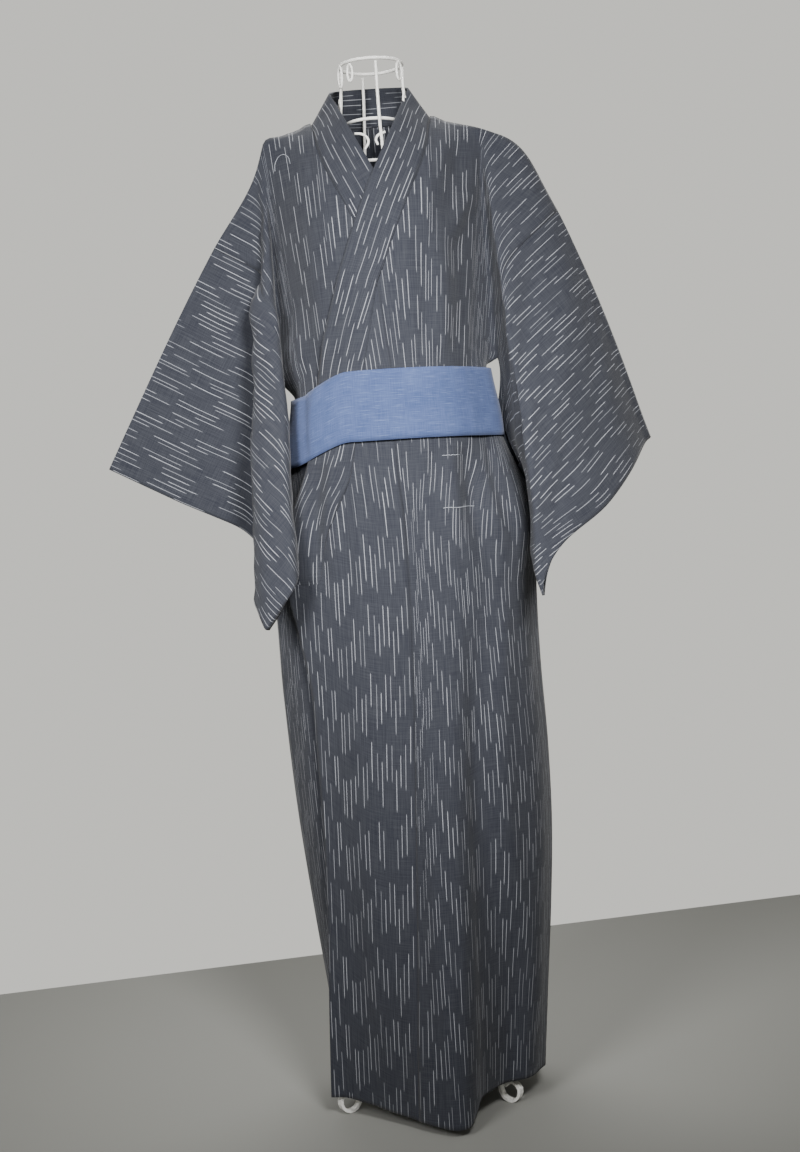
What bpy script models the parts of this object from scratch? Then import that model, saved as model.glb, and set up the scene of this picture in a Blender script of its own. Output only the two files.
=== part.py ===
"""Cotton yukata robe on a wire dress form. Metres, +Z up, the front looks along -Y."""

import math

import bmesh
import bpy
import numpy as np
from mathutils import Matrix

# From the pole's foot to the middle of the whole object's base, which is the origin.
ORIGIN_SHIFT = (0.0140, 0.0133, -0.0003)

# Walls and gaps.
CLOTH = 0.0014  # one layer of cotton, as built
SLEEVE_WALL = 0.0012
BAND = 0.0024  # the collar is folded double
BELT_WALL = 0.0026
GAP = 0.0003  # at seams, and between pieces that lie on each other
FOLD = 0.0011  # half the space between the two layers where a panel is folded over
LAYER = 0.007  # how far the left front stands off the right front below it
WRAP_SHIFT = 0.0024  # clearance of the belt over the wrapped robe

# The cut of the robe.
BODY_WIDTH = 0.335  # centre back to sleeve seam
SHOULDER_WIDTH = 0.16  # the part of it that the form carries
SLEEVE_WIDTH = 0.355
SLEEVE_DROP = 0.49
WRIST_OPENING = 0.26
ARMHOLE = 0.288  # length of the sleeve seam on each side

# Heights above the floor.
SHOULDER_Z = 1.424
BELT_TOP = 1.078
BELT_LOW = 0.965
COLLAR_END = 0.77
HIGH_HIP = 0.86
HIP = 0.70
KNEE = 0.44
OKUMI_POINT = 1.190  # where the overlap panel ends at the collar
SHOULDER_X = 0.158

# The belt.
BELT_HEIGHT = 0.099
BELT_MIDDLE = 1.022
BELT_DROOP = 0.032  # the robe is gathered lower at the wearer's right side
BELT_TILT = 0.040  # and the belt sits lower there
BELT_LAP = 0.10

# The top of the shoulders: distance from the middle, height.
RIDGE = ((0.0, 1.457), (0.085, 1.4425), (0.158, 1.424), (0.30, 1.3885))

# How far the cloth lies in front of or behind the shoulder ridge, for each drop below it.
CHEST = (
    (0.0, 0.0),
    (0.015, 0.030),
    (0.045, 0.060),
    (0.09, 0.085),
    (0.15, 0.107),
    (0.25, 0.120),
    (0.38, 0.117),
    (0.60, 0.117),
)
BACK = (
    (0.0, 0.0),
    (0.015, 0.028),
    (0.045, 0.054),
    (0.09, 0.078),
    (0.15, 0.098),
    (0.25, 0.114),
    (0.38, 0.112),
    (0.60, 0.112),
)

# Columns of a body panel: cloth across, from the middle.
NECK_COLUMNS = (0.0, 0.015, 0.030, 0.0425, 0.055, 0.065, 0.075, 0.081, 0.085)
SHOULDER_COLUMNS = (0.110, 0.135, 0.160)
SIDE_COLUMNS = 9

# Neck edge of the fronts, where the collar is sewn on, and the collar's inner edge beside it:
# cloth across, distance from the middle, height, then across, forwards and height.
NECK_FRONT = (
    ("overlap point", 0.000, -0.006, 1.190, -0.0620, 0.110, 1.200),
    ("ribs", 0.015, 0.007, 1.220, -0.0485, 0.110, 1.236),
    ("middle", 0.030, 0.019, 1.250, -0.0350, 0.109, 1.273),
    ("breast", 0.055, 0.048, 1.318, -0.0045, 0.0945, 1.347),
    ("collar bone", 0.075, 0.078, 1.392, 0.0365, 0.052, 1.437),
    ("neck side", 0.085, 0.085, 1.4425, 0.0570, -0.004, 1.489),
)
# The same round the back of the neck.
NECK_BACK = (
    ("centre back", 0.000, 0.000, -0.060, 1.4470, 0.000, -0.0545, 1.504),
    ("back", 0.040, 0.042, -0.052, 1.4470, 0.030, -0.0470, 1.502),
    ("back side", 0.070, 0.074, -0.026, 1.4455, 0.0505, -0.0270, 1.496),
    ("neck side", 0.085, 0.085, 0.000, 1.4425, 0.0570, -0.0040, 1.489),
)
# The collar's inner edge between the belt and the overlap panel's point: height, across.
COLLAR_LOW = ((1.078, -0.096), (1.13, -0.082), (1.190, -0.062))
OKUMI_LEVELS = (1.078, 1.106, 1.134, 1.158, 1.176)

# Folded top edge from the shoulder to the wrist: distance along it, out, height.
TOP_FOLD_LEFT = (
    (0.0, 0.158, 1.424),
    (0.05, 0.203, 1.405),
    (0.155, 0.259, 1.317),
    (0.255, 0.300, 1.224),
    (0.40, 0.350, 1.087),
    (0.53, 0.391, 0.958),
)
TOP_FOLD_RIGHT = (
    (0.0, 0.158, 1.424),
    (0.05, 0.174, 1.378),
    (0.18, 0.245, 1.269),
    (0.30, 0.306, 1.167),
    (0.41, 0.360, 1.070),
    (0.53, 0.420, 0.960),
)

# Folds that fan out from the shoulder point. Angle in the flat cloth from the folded top edge,
# and the direction in which that line hangs: part outwards, part forwards, the rest down.
FAN_LEFT_FRONT = (
    (0, 0.440, -0.130),
    (14, 0.345, 0.050),
    (28, 0.190, 0.185),
    (36, 0.110, 0.232),
    (43, 0.063, 0.243),
    (47, 0.056, 0.215),
    (51, 0.056, 0.150),
    (55, 0.036, 0.068),
    (60, 0.014, 0.012),
    (65, -0.012, 0.020),
    (71, -0.042, 0.058),
    (80, -0.085, 0.110),
    (90, -0.120, 0.170),
)
FAN_LEFT_BACK = (
    (0, 0.440, -0.130),
    (12, 0.300, -0.190),
    (24, 0.160, -0.220),
    (33, 0.095, -0.235),
    (42, 0.045, -0.190),
    (52, 0.028, -0.080),
    (60, 0.014, 0.004),
    (65, -0.012, -0.012),
    (71, -0.042, -0.050),
    (80, -0.085, -0.100),
    (90, -0.120, -0.165),
)
FAN_RIGHT_FRONT = (
    (0, 0.493, 0.000),
    (12, 0.300, -0.020),
    (22, 0.128, -0.038),
    (27, 0.092, 0.000),
    (32, 0.085, 0.070),
    (38, 0.080, 0.150),
    (43, 0.040, 0.205),
    (47, -0.012, 0.222),
    (51, -0.026, 0.165),
    (56, -0.006, 0.052),
    (60, 0.000, 0.018),
    (65, -0.017, 0.017),
    (71, -0.044, 0.056),
    (80, -0.085, 0.110),
    (90, -0.120, 0.170),
)
FAN_RIGHT_BACK = (
    (0, 0.493, 0.000),
    (12, 0.310, -0.050),
    (24, 0.140, -0.110),
    (33, 0.080, -0.180),
    (42, 0.010, -0.170),
    (52, 0.000, -0.066),
    (60, 0.000, -0.004),
    (65, -0.017, -0.012),
    (71, -0.044, -0.050),
    (80, -0.085, -0.100),
    (90, -0.120, -0.165),
)
# The sleeve's back layer, nested in its front layer.
NEST_LEFT = (
    (0, 0.440, -0.130),
    (14, 0.337, 0.038),
    (28, 0.178, 0.166),
    (36, 0.108, 0.211),
    (43, 0.082, 0.218),
    (47, 0.075, 0.196),
    (51, 0.073, 0.150),
    (55, 0.057, 0.076),
    (60, 0.036, 0.014),
)
NEST_RIGHT = (
    (0, 0.493, 0.000),
    (12, 0.300, -0.034),
    (22, 0.116, -0.056),
    (27, 0.076, -0.018),
    (32, 0.068, 0.066),
    (38, 0.062, 0.140),
    (43, 0.030, 0.185),
    (47, 0.002, 0.196),
    (51, -0.005, 0.155),
    (56, 0.012, 0.068),
    (60, 0.018, 0.016),
)
PINCH = 60.0  # angle of the pinch below the arm, where the front and the back of the robe meet
TAIL_START = 63.5
TAIL_LEFT = (0.045, -0.115)  # turn of the sleeve's free edge past the pinch: outwards, forwards
TAIL_RIGHT = (0.004, -0.110)
HIP_PUSH_LEFT = 0.045  # the hips hold the sleeve's lower inner corner outwards
HIP_PUSH_RIGHT = 0.031
EDGE_OUT = 0.120  # the line below the shoulder point leans inwards by this much of its drop
EDGE_FRONT = 0.170
EDGE_BACK = 0.165
SLEEVE_COLUMNS = (0.0012, 0.012, 0.027, 0.055, 0.088, 0.122, 0.160, 0.200, 0.240, 0.280, 0.318, 0.355)
SLEEVE_TAIL_ROWS = (0.306, 0.330, 0.358, 0.388, 0.420, 0.450, 0.480, 0.490)

# Side of the wrapped waist: share from the chest's edge to the side seam, then out and forwards.
WAIST_LEFT = ((0.5, 0.1400, 0.034), (1.0, 0.1475, 0.004))
WAIST_RIGHT = ((0.5, 0.1330, 0.034), (1.0, 0.1370, 0.004))
FLARE = (1.10, 1.03)  # how much wider and deeper the waist is at the belt's low edge

# Skirt panels. Share of the panel's width, then across and forwards at the hip and the knee,
# and across, forwards and height at the hem.
LEFT_FRONT = (
    ("okumi seam", 0.00, 0.012, 0.131, 0.000, 0.150, -0.022, 0.171, 0.016),
    ("prow", 0.18, 0.040, 0.136, 0.032, 0.166, 0.030, 0.207, 0.012),
    ("fold", 0.29, 0.070, 0.134, 0.066, 0.160, 0.056, 0.189, 0.015),
    ("tuck", 0.37, 0.085, 0.124, 0.078, 0.143, 0.064, 0.163, 0.036),
    ("thigh", 0.58, 0.128, 0.105, 0.132, 0.116, 0.103, 0.108, 0.038),
    ("foot", 0.75, 0.168, 0.075, 0.175, 0.080, 0.140, 0.092, 0.040),
    ("side seam", 1.00, 0.198, 0.018, 0.203, 0.020, 0.168, 0.045, 0.040),
)
RIGHT_FRONT = (
    ("okumi seam", 0.00, 0.000, 0.121, 0.003, 0.135, 0.003, 0.150, 0.050),
    ("inner", 0.25, -0.050, 0.116, -0.050, 0.125, -0.045, 0.127, 0.050),
    ("thigh", 0.50, -0.100, 0.096, -0.098, 0.100, -0.088, 0.098, 0.050),
    ("front", 0.74, -0.150, 0.066, -0.142, 0.066, -0.120, 0.068, 0.050),
    ("side seam", 1.00, -0.185, 0.018, -0.172, 0.015, -0.130, 0.018, 0.045),
)
LEFT_BACK = (
    ("centre seam", 0.00, 0.000, -0.148, 0.000, -0.163, 0.000, -0.180, 0.045),
    ("middle", 0.30, 0.085, -0.140, 0.090, -0.152, 0.075, -0.166, 0.045),
    ("hip", 0.60, 0.155, -0.100, 0.165, -0.108, 0.138, -0.112, 0.044),
    ("flank", 0.83, 0.200, -0.035, 0.206, -0.032, 0.172, -0.018, 0.042),
    ("side seam", 1.00, 0.198, 0.018, 0.203, 0.020, 0.168, 0.045, 0.040),
)
RIGHT_BACK = (
    ("centre seam", 0.00, 0.000, -0.148, 0.000, -0.163, 0.000, -0.180, 0.045),
    ("middle", 0.30, -0.085, -0.140, -0.086, -0.150, -0.070, -0.162, 0.045),
    ("hip", 0.60, -0.150, -0.098, -0.145, -0.102, -0.116, -0.108, 0.045),
    ("flank", 0.83, -0.188, -0.035, -0.177, -0.034, -0.136, -0.030, 0.045),
    ("side seam", 1.00, -0.185, 0.018, -0.172, 0.015, -0.130, 0.018, 0.045),
)
# Overlap panels with the collar's lower run. Share of the width from the front edge, across at
# the belt's top and low edge, then across and forwards at the collar's end, hip and knee, and the hem.
LEFT_OKUMI = (
    ("front edge", 0.00, -0.096, -0.114, -0.148, 0.084, -0.143, 0.086, -0.135, 0.090, -0.148, 0.095, 0.030),
    ("outer", 0.30, -0.066, -0.080, -0.107, 0.108, -0.105, 0.109, -0.100, 0.113, -0.111, 0.104, 0.028),
    ("inner", 0.65, -0.030, -0.038, -0.052, 0.125, -0.050, 0.127, -0.052, 0.136, -0.063, 0.140, 0.020),
    ("seam", 1.00, 0.005, 0.0055, 0.010, 0.129, 0.012, 0.131, 0.000, 0.150, -0.022, 0.171, 0.016),
)
RIGHT_OKUMI = (
    ("front edge", 0.00, 0.087, 0.092, 0.100, 0.090, 0.104, 0.090, 0.108, 0.098, 0.084, 0.106, 0.050),
    ("outer", 0.30, 0.060, 0.065, 0.076, 0.104, 0.080, 0.104, 0.080, 0.116, 0.064, 0.123, 0.050),
    ("inner", 0.65, 0.027, 0.031, 0.040, 0.116, 0.044, 0.117, 0.046, 0.128, 0.036, 0.146, 0.050),
    ("seam", 1.00, -0.005, -0.0055, -0.002, 0.119, 0.000, 0.121, 0.003, 0.135, 0.003, 0.150, 0.050),
)
# Share of the overlap that the collar takes below the belt: height, share.
COLLAR_SHARE = ((0.77, 0.335), (0.86, 0.39), (0.965, 0.54), (1.078, 0.643))
COLLAR_LEVELS = (0.7706, 0.825, 0.880, 0.930, 0.970, 1.025, 1.078)
SKIRT_ROWS = 7
RISES = (0.06, 0.12, 0.19, 0.27, 0.37, 0.48, 0.59, 0.69, 0.78, 0.865, 0.94, 1.0)

# The wire form.
WIRE = 0.0046
POLE = 0.014
RING_TOP = 1.5215
RING_RADIUS = 0.0465
# Front and back ribs: height, across, and distance before or behind the middle.
RIB_FRONT = (
    (1.5188, 0.0125, 0.0465),
    (1.48, 0.0125, 0.0470),
    (1.438, 0.0130, 0.0475),
    (1.40, 0.0145, 0.0610),
    (1.374, 0.0155, 0.0690),
    (1.32, 0.0165, 0.0850),
    (1.25, 0.0165, 0.1010),
    (1.17, 0.0165, 0.1040),
    (1.02, 0.0165, 0.1030),
    (0.90, 0.0165, 0.1030),
    (0.80, 0.0165, 0.1030),
)
RIB_BACK = (
    (1.5188, -0.0075, 0.0465),
    (1.48, -0.0085, 0.0465),
    (1.438, -0.0100, 0.0430),
    (1.40, -0.0120, 0.0480),
    (1.374, -0.0125, 0.0560),
    (1.32, -0.0130, 0.0790),
    (1.25, -0.0130, 0.0960),
    (1.17, -0.0130, 0.0990),
    (1.02, -0.0130, 0.0990),
    (0.90, -0.0130, 0.1010),
    (0.80, -0.0130, 0.1050),
)
# Side ribs: along the shoulder, across and distance below the ridge; then down, height and across.
RIB_SIDE = ((0.085, 0.0041), (0.110, 0.0044), (0.130, 0.0052), (0.142, 0.0080), (0.1485, 0.0150))
RIB_DOWN = (
    (1.385, 0.1500),
    (1.33, 0.1490),
    (1.25, 0.1400),
    (1.17, 0.1290),
    (1.10, 0.1200),
    (1.02, 0.1180),
    (0.90, 0.1220),
    (0.80, 0.1260),
)
# Legs: name, heading in degrees, distance from the pole to the middle of the foot's scroll.
LEGS = (
    ("leg_left", -34.0, 0.137),
    ("leg_right", 212.0, 0.144),
    ("leg_back", 90.0, 0.140),
)
# Rings: name, height, half width, then reach forwards and backwards.
RINGS = (
    ("ring_collar", 1.374, 0.0610, 0.0660, 0.0520),
    ("ring_chest", 1.250, 0.1351, 0.0974, 0.0920),
    ("ring_waist", 1.020, 0.1131, 0.0997, 0.0953),
    ("ring_hip", 0.800, 0.1211, 0.0996, 0.1013),
)


def smooth(x):
    x = np.clip(x, 0.0, 1.0)
    return x * x * (3.0 - 2.0 * x)


def curve(table, x):
    """Reads a smooth curve through the rows of a table, whose first column is the key."""
    rows = np.array(table, float)
    keys, values = rows[:, 0], rows[:, 1:]
    x = np.clip(np.asarray(x, float), keys[0], keys[-1])
    step = np.diff(keys)
    rise = np.diff(values, axis=0) / step[:, None]
    slope = np.empty_like(values)
    slope[0], slope[-1] = rise[0], rise[-1]
    if len(keys) > 2:
        before, after = step[:-1, None], step[1:, None]
        slope[1:-1] = (rise[:-1] * after + rise[1:] * before) / (before + after)
        limit = 3.0 * np.minimum(np.abs(rise[:-1]), np.abs(rise[1:]))
        slope[1:-1] = np.clip(slope[1:-1], -limit, limit) * (rise[:-1] * rise[1:] > 0)
    i = np.clip(np.searchsorted(keys, x, side="right") - 1, 0, len(keys) - 2)
    h = step[i]
    s = (x - keys[i]) / h
    h, s = h[..., None], s[..., None]
    return (
        values[i] * (1 + 2 * s) * (1 - s) ** 2
        + values[i + 1] * s * s * (3 - 2 * s)
        + slope[i] * h * s * (1 - s) ** 2
        - slope[i + 1] * h * s * s * (1 - s)
    )


def between(levels, heights, z):
    """A smooth line down through points given at several heights, for each point of an array."""
    order = np.argsort([np.mean(h) for h in heights])
    z = np.asarray(z, float)
    keys = np.stack([np.broadcast_to(heights[k], z.shape) for k in order])
    values = np.stack([np.broadcast_to(levels[k], z.shape + (2,)) for k in order])
    step = np.diff(keys, axis=0)
    rise = np.diff(values, axis=0) / step[..., None]
    slope = np.concatenate([rise[:1], rise, rise[-1:]])[: len(keys)]
    before, after = step[:-1, ..., None], step[1:, ..., None]
    slope[1:-1] = (rise[:-1] * after + rise[1:] * before) / (before + after)
    slope[-1], slope[-2] = 0.0, 0.0
    out = values[0].copy()
    for k in range(len(keys) - 1):
        inside = (z >= keys[k]) & (z <= keys[k + 1])
        s = np.clip((z - keys[k]) / step[k], 0.0, 1.0)[..., None]
        h = step[k][..., None]
        here = (
            values[k] * (1 + 2 * s) * (1 - s) ** 2
            + values[k + 1] * s * s * (3 - 2 * s)
            + slope[k] * h * s * (1 - s) ** 2
            - slope[k + 1] * h * s * s * (1 - s)
        )
        out = np.where(inside[..., None], here, out)
    return np.where((z > keys[-1])[..., None], values[-1], out)


def normals_of(points):
    """Unit normals of a grid of points, from its neighbours along both ways."""
    along = np.gradient(points, axis=0)
    across = np.gradient(points, axis=1)
    n = np.cross(along, across)
    return n / np.maximum(np.linalg.norm(n, axis=-1, keepdims=True), 1e-12)


# ---- upper body -------------------------------------------------------------------------------


def ridge(x):
    return curve(RIDGE, np.abs(x))[..., 0]


def chest(x, z, over):
    """Place of the front along Y, for a point this far across and this high."""
    drop = np.maximum(SHOULDER_Z - z, 0.0)
    share = np.clip(np.abs(x) / (SHOULDER_X - EDGE_OUT * drop), 0.0, 1.0)
    round_off = 1.0 - share**2.6
    below = np.maximum(ridge(x) - z, 0.0)
    depth = curve(CHEST, below)[..., 0]
    out = FOLD + round_off * depth + (1.0 - round_off) * EDGE_FRONT * drop
    if over:
        out = out + LAYER * smooth(below / 0.08) * (1.0 - smooth((x - 0.10) / 0.03))
    return -out


def back(x, z):
    drop = np.maximum(SHOULDER_Z - z, 0.0)
    share = np.clip(np.abs(x) / (SHOULDER_X - EDGE_OUT * drop), 0.0, 1.0)
    round_off = 1.0 - share**2.6
    depth = curve(BACK, np.maximum(ridge(x) - z, 0.0))[..., 0]
    return FOLD + round_off * depth + (1.0 - round_off) * EDGE_BACK * drop


def fan(side, front, along, down, nest=False):
    """Hangs flat cloth from the shoulder point: along its folded top edge, and down from it."""
    if side > 0:
        table, fold = (FAN_LEFT_FRONT if front else FAN_LEFT_BACK), TOP_FOLD_LEFT
    else:
        table, fold = (FAN_RIGHT_FRONT if front else FAN_RIGHT_BACK), TOP_FOLD_RIGHT
    if nest:
        table = NEST_LEFT if side > 0 else NEST_RIGHT
    reach = np.hypot(along, down)
    angle = np.degrees(np.arctan2(down, along))
    sleeve = along > BODY_WIDTH - SHOULDER_WIDTH
    way = curve(table, np.where(sleeve, np.minimum(angle, PINCH), angle))
    ends = np.array([table[0][1:], (-EDGE_OUT, EDGE_FRONT if front else -EDGE_BACK)])
    near = (1.0 - smooth(reach / (0.085 if side > 0 else 0.13)))[..., None]
    way = way * (1 - near) + (ends[0] + (ends[1] - ends[0]) * (angle / 90.0)[..., None]) * near
    turn = np.where(sleeve, np.maximum(angle - TAIL_START, 0.0) / 10.0, 0.0)
    tail = TAIL_LEFT if side > 0 else TAIL_RIGHT
    out = way[..., 0] + tail[0] * turn
    ahead = way[..., 1] + tail[1] * turn
    fall = np.sqrt(np.maximum(1.0 - out**2 - ahead**2, 0.0))
    first = table[0]
    straight = (first[1], math.sqrt(1.0 - first[1] ** 2 - first[2] ** 2))
    edge = curve(fold, along)
    fade = 1.0 - smooth(angle / 38.0)
    x = SHOULDER_X + reach * out + fade * (edge[..., 0] - SHOULDER_X - straight[0] * along)
    z = SHOULDER_Z - reach * fall + fade * (edge[..., 1] - SHOULDER_Z + straight[1] * along)
    if side > 0:
        held = HIP_PUSH_LEFT * smooth((1.0 - z) / 0.13)
    else:
        held = HIP_PUSH_RIGHT * smooth((1.05 - z) / 0.20)
    x = x + np.where(sleeve, held * smooth((angle - 50.0) / 10.0), 0.0)
    return np.stack([side * x, -reach * ahead, z], axis=-1)


def layer(side, front, along, down):
    """A hanging layer, moved clear of the layer on the other side of the folded top edge."""
    e = 0.002
    a = fan(side, front, along + e, down) - fan(side, front, np.maximum(along - e, 1e-6), down)
    b = fan(side, front, along, down + e) - fan(side, front, along, np.maximum(down - e, 1e-6))
    n = np.cross(a, b) * side
    n = n / np.maximum(np.linalg.norm(n, axis=-1, keepdims=True), 1e-12)
    sign = -1.0 if front else 1.0
    angle = np.degrees(np.arctan2(down, along))
    turn = smooth((angle - 38.0) / 12.0)[..., None]
    pinch = 1.0 + 1.6 * np.exp(-(((angle - PINCH) / 9.0) ** 2)) * smooth(np.hypot(along, down) / 0.06)
    push = sign * (n * (1 - turn) + np.array([0.0, 1.0, 0.0]) * turn)
    return fan(side, front, along, down) + FOLD * pinch[..., None] * push, n


def tie(side, width):
    """Height at which the belt gathers a body panel."""
    droop = BELT_DROOP if side < 0 else 0.0
    return BELT_TOP - droop * smooth((width - 0.10) / 0.20)


def upper(side, front, width, rise):
    """Body panel above the belt: width is cloth across, rise is 0 at the belt and 1 at the top."""
    width, rise = np.broadcast_arrays(np.asarray(width, float), np.asarray(rise, float))
    over = front and side > 0
    low = tie(side, width)
    inner = np.minimum(width, SHOULDER_WIDTH)
    edge_low = SHOULDER_X - EDGE_OUT * (SHOULDER_Z - low)
    across = inner / SHOULDER_WIDTH
    shoulder_x = 0.085 + (SHOULDER_X - 0.085) * (inner - 0.085) / (SHOULDER_WIDTH - 0.085)
    if front:
        neck = curve([row[1:4] for row in NECK_FRONT], inner)
        top_x = np.where(inner < 0.085, neck[..., 0], shoulder_x)
        top_z = np.where(inner < 0.085, neck[..., 1], ridge(shoulder_x))
        x_low = 0.005 + (edge_low - 0.005) * across
    else:
        neck = curve([row[1:5] for row in NECK_BACK], inner)
        top_x = np.where(inner < 0.085, neck[..., 0], shoulder_x)
        top_z = np.where(inner < 0.085, neck[..., 2], ridge(shoulder_x))
        x_low = edge_low * across
    x = x_low + (top_x - x_low) * rise
    z = low + (top_z - low) * rise
    if front:
        y = chest(x, z, over)
    else:
        y = back(x, z)
        begin = 0.75 + 0.22 * smooth((inner - 0.05) / 0.035)
        lift = smooth((rise - begin) / (1.0 - begin)) * (inner < 0.085)
        y = y + lift * (np.maximum(-neck[..., 1], FOLD) - y)
    chest_part = np.stack([side * x, y, z], axis=-1)

    along = np.maximum(width - SHOULDER_WIDTH, 0.0)
    share = along / (BODY_WIDTH - SHOULDER_WIDTH)
    drop_low = SHOULDER_Z - low
    longest = drop_low / 0.99 + (ARMHOLE - drop_low / 0.99) * share
    down = (1.0 - rise) * drop_low / 0.98
    down = np.maximum(np.minimum(down, longest), 1e-6)
    hung, _ = layer(side, front, np.maximum(along, 1e-6), down)
    rows = WAIST_LEFT if side > 0 else WAIST_RIGHT
    edge_y = FOLD + (EDGE_FRONT if front else EDGE_BACK) * drop_low
    first = np.stack([edge_low, edge_y], axis=-1)
    flip = (1.0, 1.0 if front else -1.0)
    middle = np.array(rows[0][1:]) * (1.0, 1.0)
    last = np.array(rows[1][1:]) * flip
    s = share[..., None]
    waist = first * (1 - s) * (1 - 2 * s) + middle * 4 * s * (1 - s) + last * s * (2 * s - 1)
    sign = -1.0 if front else 1.0
    tied = np.stack([side * waist[..., 0], sign * waist[..., 1], low], axis=-1)
    hold = (1.0 - smooth(rise / (0.19 if side > 0 else 0.27)))[..., None]
    hung = hung * (1 - hold) + tied * hold
    return np.where((width > SHOULDER_WIDTH)[..., None], hung, chest_part)


def skirt(side, front, share, z, rows):
    """Body panel below the belt's top, through its rows at the hip, the knee and the hem."""
    table = np.array([row[1:] for row in rows])
    width = share * BODY_WIDTH
    top = upper(side, front, width, 0.0)[..., :2]
    waist = top * FLARE
    hip = curve(table[:, [0, 1, 2]], share) * (1.0, -1.0)
    knee = curve(table[:, [0, 3, 4]], share) * (1.0, -1.0)
    hem = curve(table[:, [0, 5, 6]], share) * (1.0, -1.0)
    low = curve(table[:, [0, 7]], share)[..., 0]
    flare = waist + (hip - waist) * (0.93 if side > 0 else 0.80)
    heights = [tie(side, width), tie(side, width) - (BELT_TOP - BELT_LOW), HIGH_HIP, HIP, KNEE, low]
    xy = between([top, waist, flare, hip, knee, hem], heights, z)
    return np.concatenate([xy, z[..., None]], axis=-1)


def hem_height(rows, share):
    table = np.array([row[1:] for row in rows])
    return curve(table[:, [0, -1]], share)[..., 0]


def seam_levels(rows):
    """Heights of the rows of a panel at its overlap seam, shared by the overlap panel beside it."""
    low = hem_height(rows, np.array([0.0]))[0]
    below = np.linspace(low, COLLAR_END - 0.004, SKIRT_ROWS)
    return np.concatenate([below, COLLAR_LEVELS])


def relax(points, free, turns):
    """Draws part of a grid tight between the points around it."""
    for _ in range(turns):
        wide = np.pad(points, ((1, 1), (1, 1), (0, 0)), mode="edge")
        mean = (wide[:-2, 1:-1] + wide[2:, 1:-1] + wide[1:-1, :-2] + wide[1:-1, 2:]) / 4
        points = points + 0.8 * free * (mean - points)
    return points


def body_panel(side, front, rows, levels, widths):
    """Grid of points of a whole body panel, from the hem to the top edge."""
    widths = np.array(widths)
    share = widths / BODY_WIDTH
    low = hem_height(rows, share)
    part = ((levels - levels[0]) / (levels[-1] - levels[0]))[:, None]
    z = low[None] + (tie(side, widths)[None] - low[None]) * part
    bottom = skirt(side, front, np.broadcast_to(share[None], z.shape), z, rows)
    top = upper(side, front, widths[None], np.array(RISES)[:, None])
    free = 0.35 * smooth((widths - SHOULDER_WIDTH) / 0.04) * (widths < BODY_WIDTH - 0.001)
    free = free[None] * smooth(np.array(RISES) / 0.2)[:, None] * (np.array(RISES) < 0.99)[:, None]
    return np.concatenate([bottom, relax(top, free[..., None], 2 if side < 0 else 0)])


# ---- overlap panels and collar ----------------------------------------------------------------


def okumi_surface(rows, over, share, z):
    """Overlap panel together with the collar's lower run, from the front edge to the seam."""
    side = 1.0 if over else -1.0
    table = np.array([row[1:] for row in rows])
    x_top = curve(table[:, [0, 1]], share)[..., 0]
    x_low = curve(table[:, [0, 2]], share)[..., 0]
    y_top = chest(side * x_top, np.full_like(x_top, BELT_TOP), over)
    top = np.stack([x_top, y_top], axis=-1)
    low = np.stack([x_low, y_top * FLARE[1]], axis=-1)
    end = curve(table[:, [0, 3, 4]], share) * (1.0, -1.0)
    hip = curve(table[:, [0, 5, 6]], share) * (1.0, -1.0)
    knee = curve(table[:, [0, 7, 8]], share) * (1.0, -1.0)
    hem = curve(table[:, [0, 9, 10]], share) * (1.0, -1.0)
    floor = curve(table[:, [0, 11]], share)[..., 0]
    xy = between([top, low, end, hip, knee, hem], [BELT_TOP, BELT_LOW, COLLAR_END, HIP, KNEE, floor], z)
    return np.concatenate([xy, z[..., None]], axis=-1)


def chest_point(x, z, over):
    side = 1.0 if over else -1.0
    return np.stack([side * x, chest(x, z, over), z], axis=-1)


def outer_edge(z):
    """Where the collar's outer edge lies between the belt and the overlap panel's point."""
    rise = (z - BELT_TOP) / (OKUMI_POINT - BELT_TOP)
    return -0.031 + (-0.006 + 0.031) * rise


def okumi(over, rows, columns, front_rows):
    """Overlap panel: full width below the collar's end, then beside the collar up to its point."""
    side = 1.0 if over else -1.0
    across = np.linspace(0.0, 1.0, columns)[None]
    low = hem_height(rows, across)
    z = low + (COLLAR_END - 0.004 - low) * np.linspace(0.0, 1.0, SKIRT_ROWS)[:, None]
    share = np.broadcast_to(across, z.shape)
    parts = [okumi_surface(rows, over, share, z)]
    z = np.array(COLLAR_LEVELS)[:, None] * np.ones_like(across)
    edge = curve(COLLAR_SHARE, z)[..., 0]
    parts.append(okumi_surface(rows, over, edge + (1.0 - edge) * across, z))
    below = np.concatenate(parts)
    seam_z = below[:, -1, 2]
    goal = skirt(side, True, np.zeros_like(seam_z), seam_z, front_rows)
    below[..., :2] += (goal - below[:, -1])[:, None, :2] * across[..., None] ** 2
    z = np.array(OKUMI_LEVELS[1:])[:, None] * np.ones_like(across)
    rise = (z - BELT_TOP) / (OKUMI_POINT - BELT_TOP)
    x_seam = 0.005 + (-0.006 - 0.005) * rise
    x = outer_edge(z) + (x_seam - outer_edge(z)) * across
    return np.concatenate([below, chest_point(x, z, over)])


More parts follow.
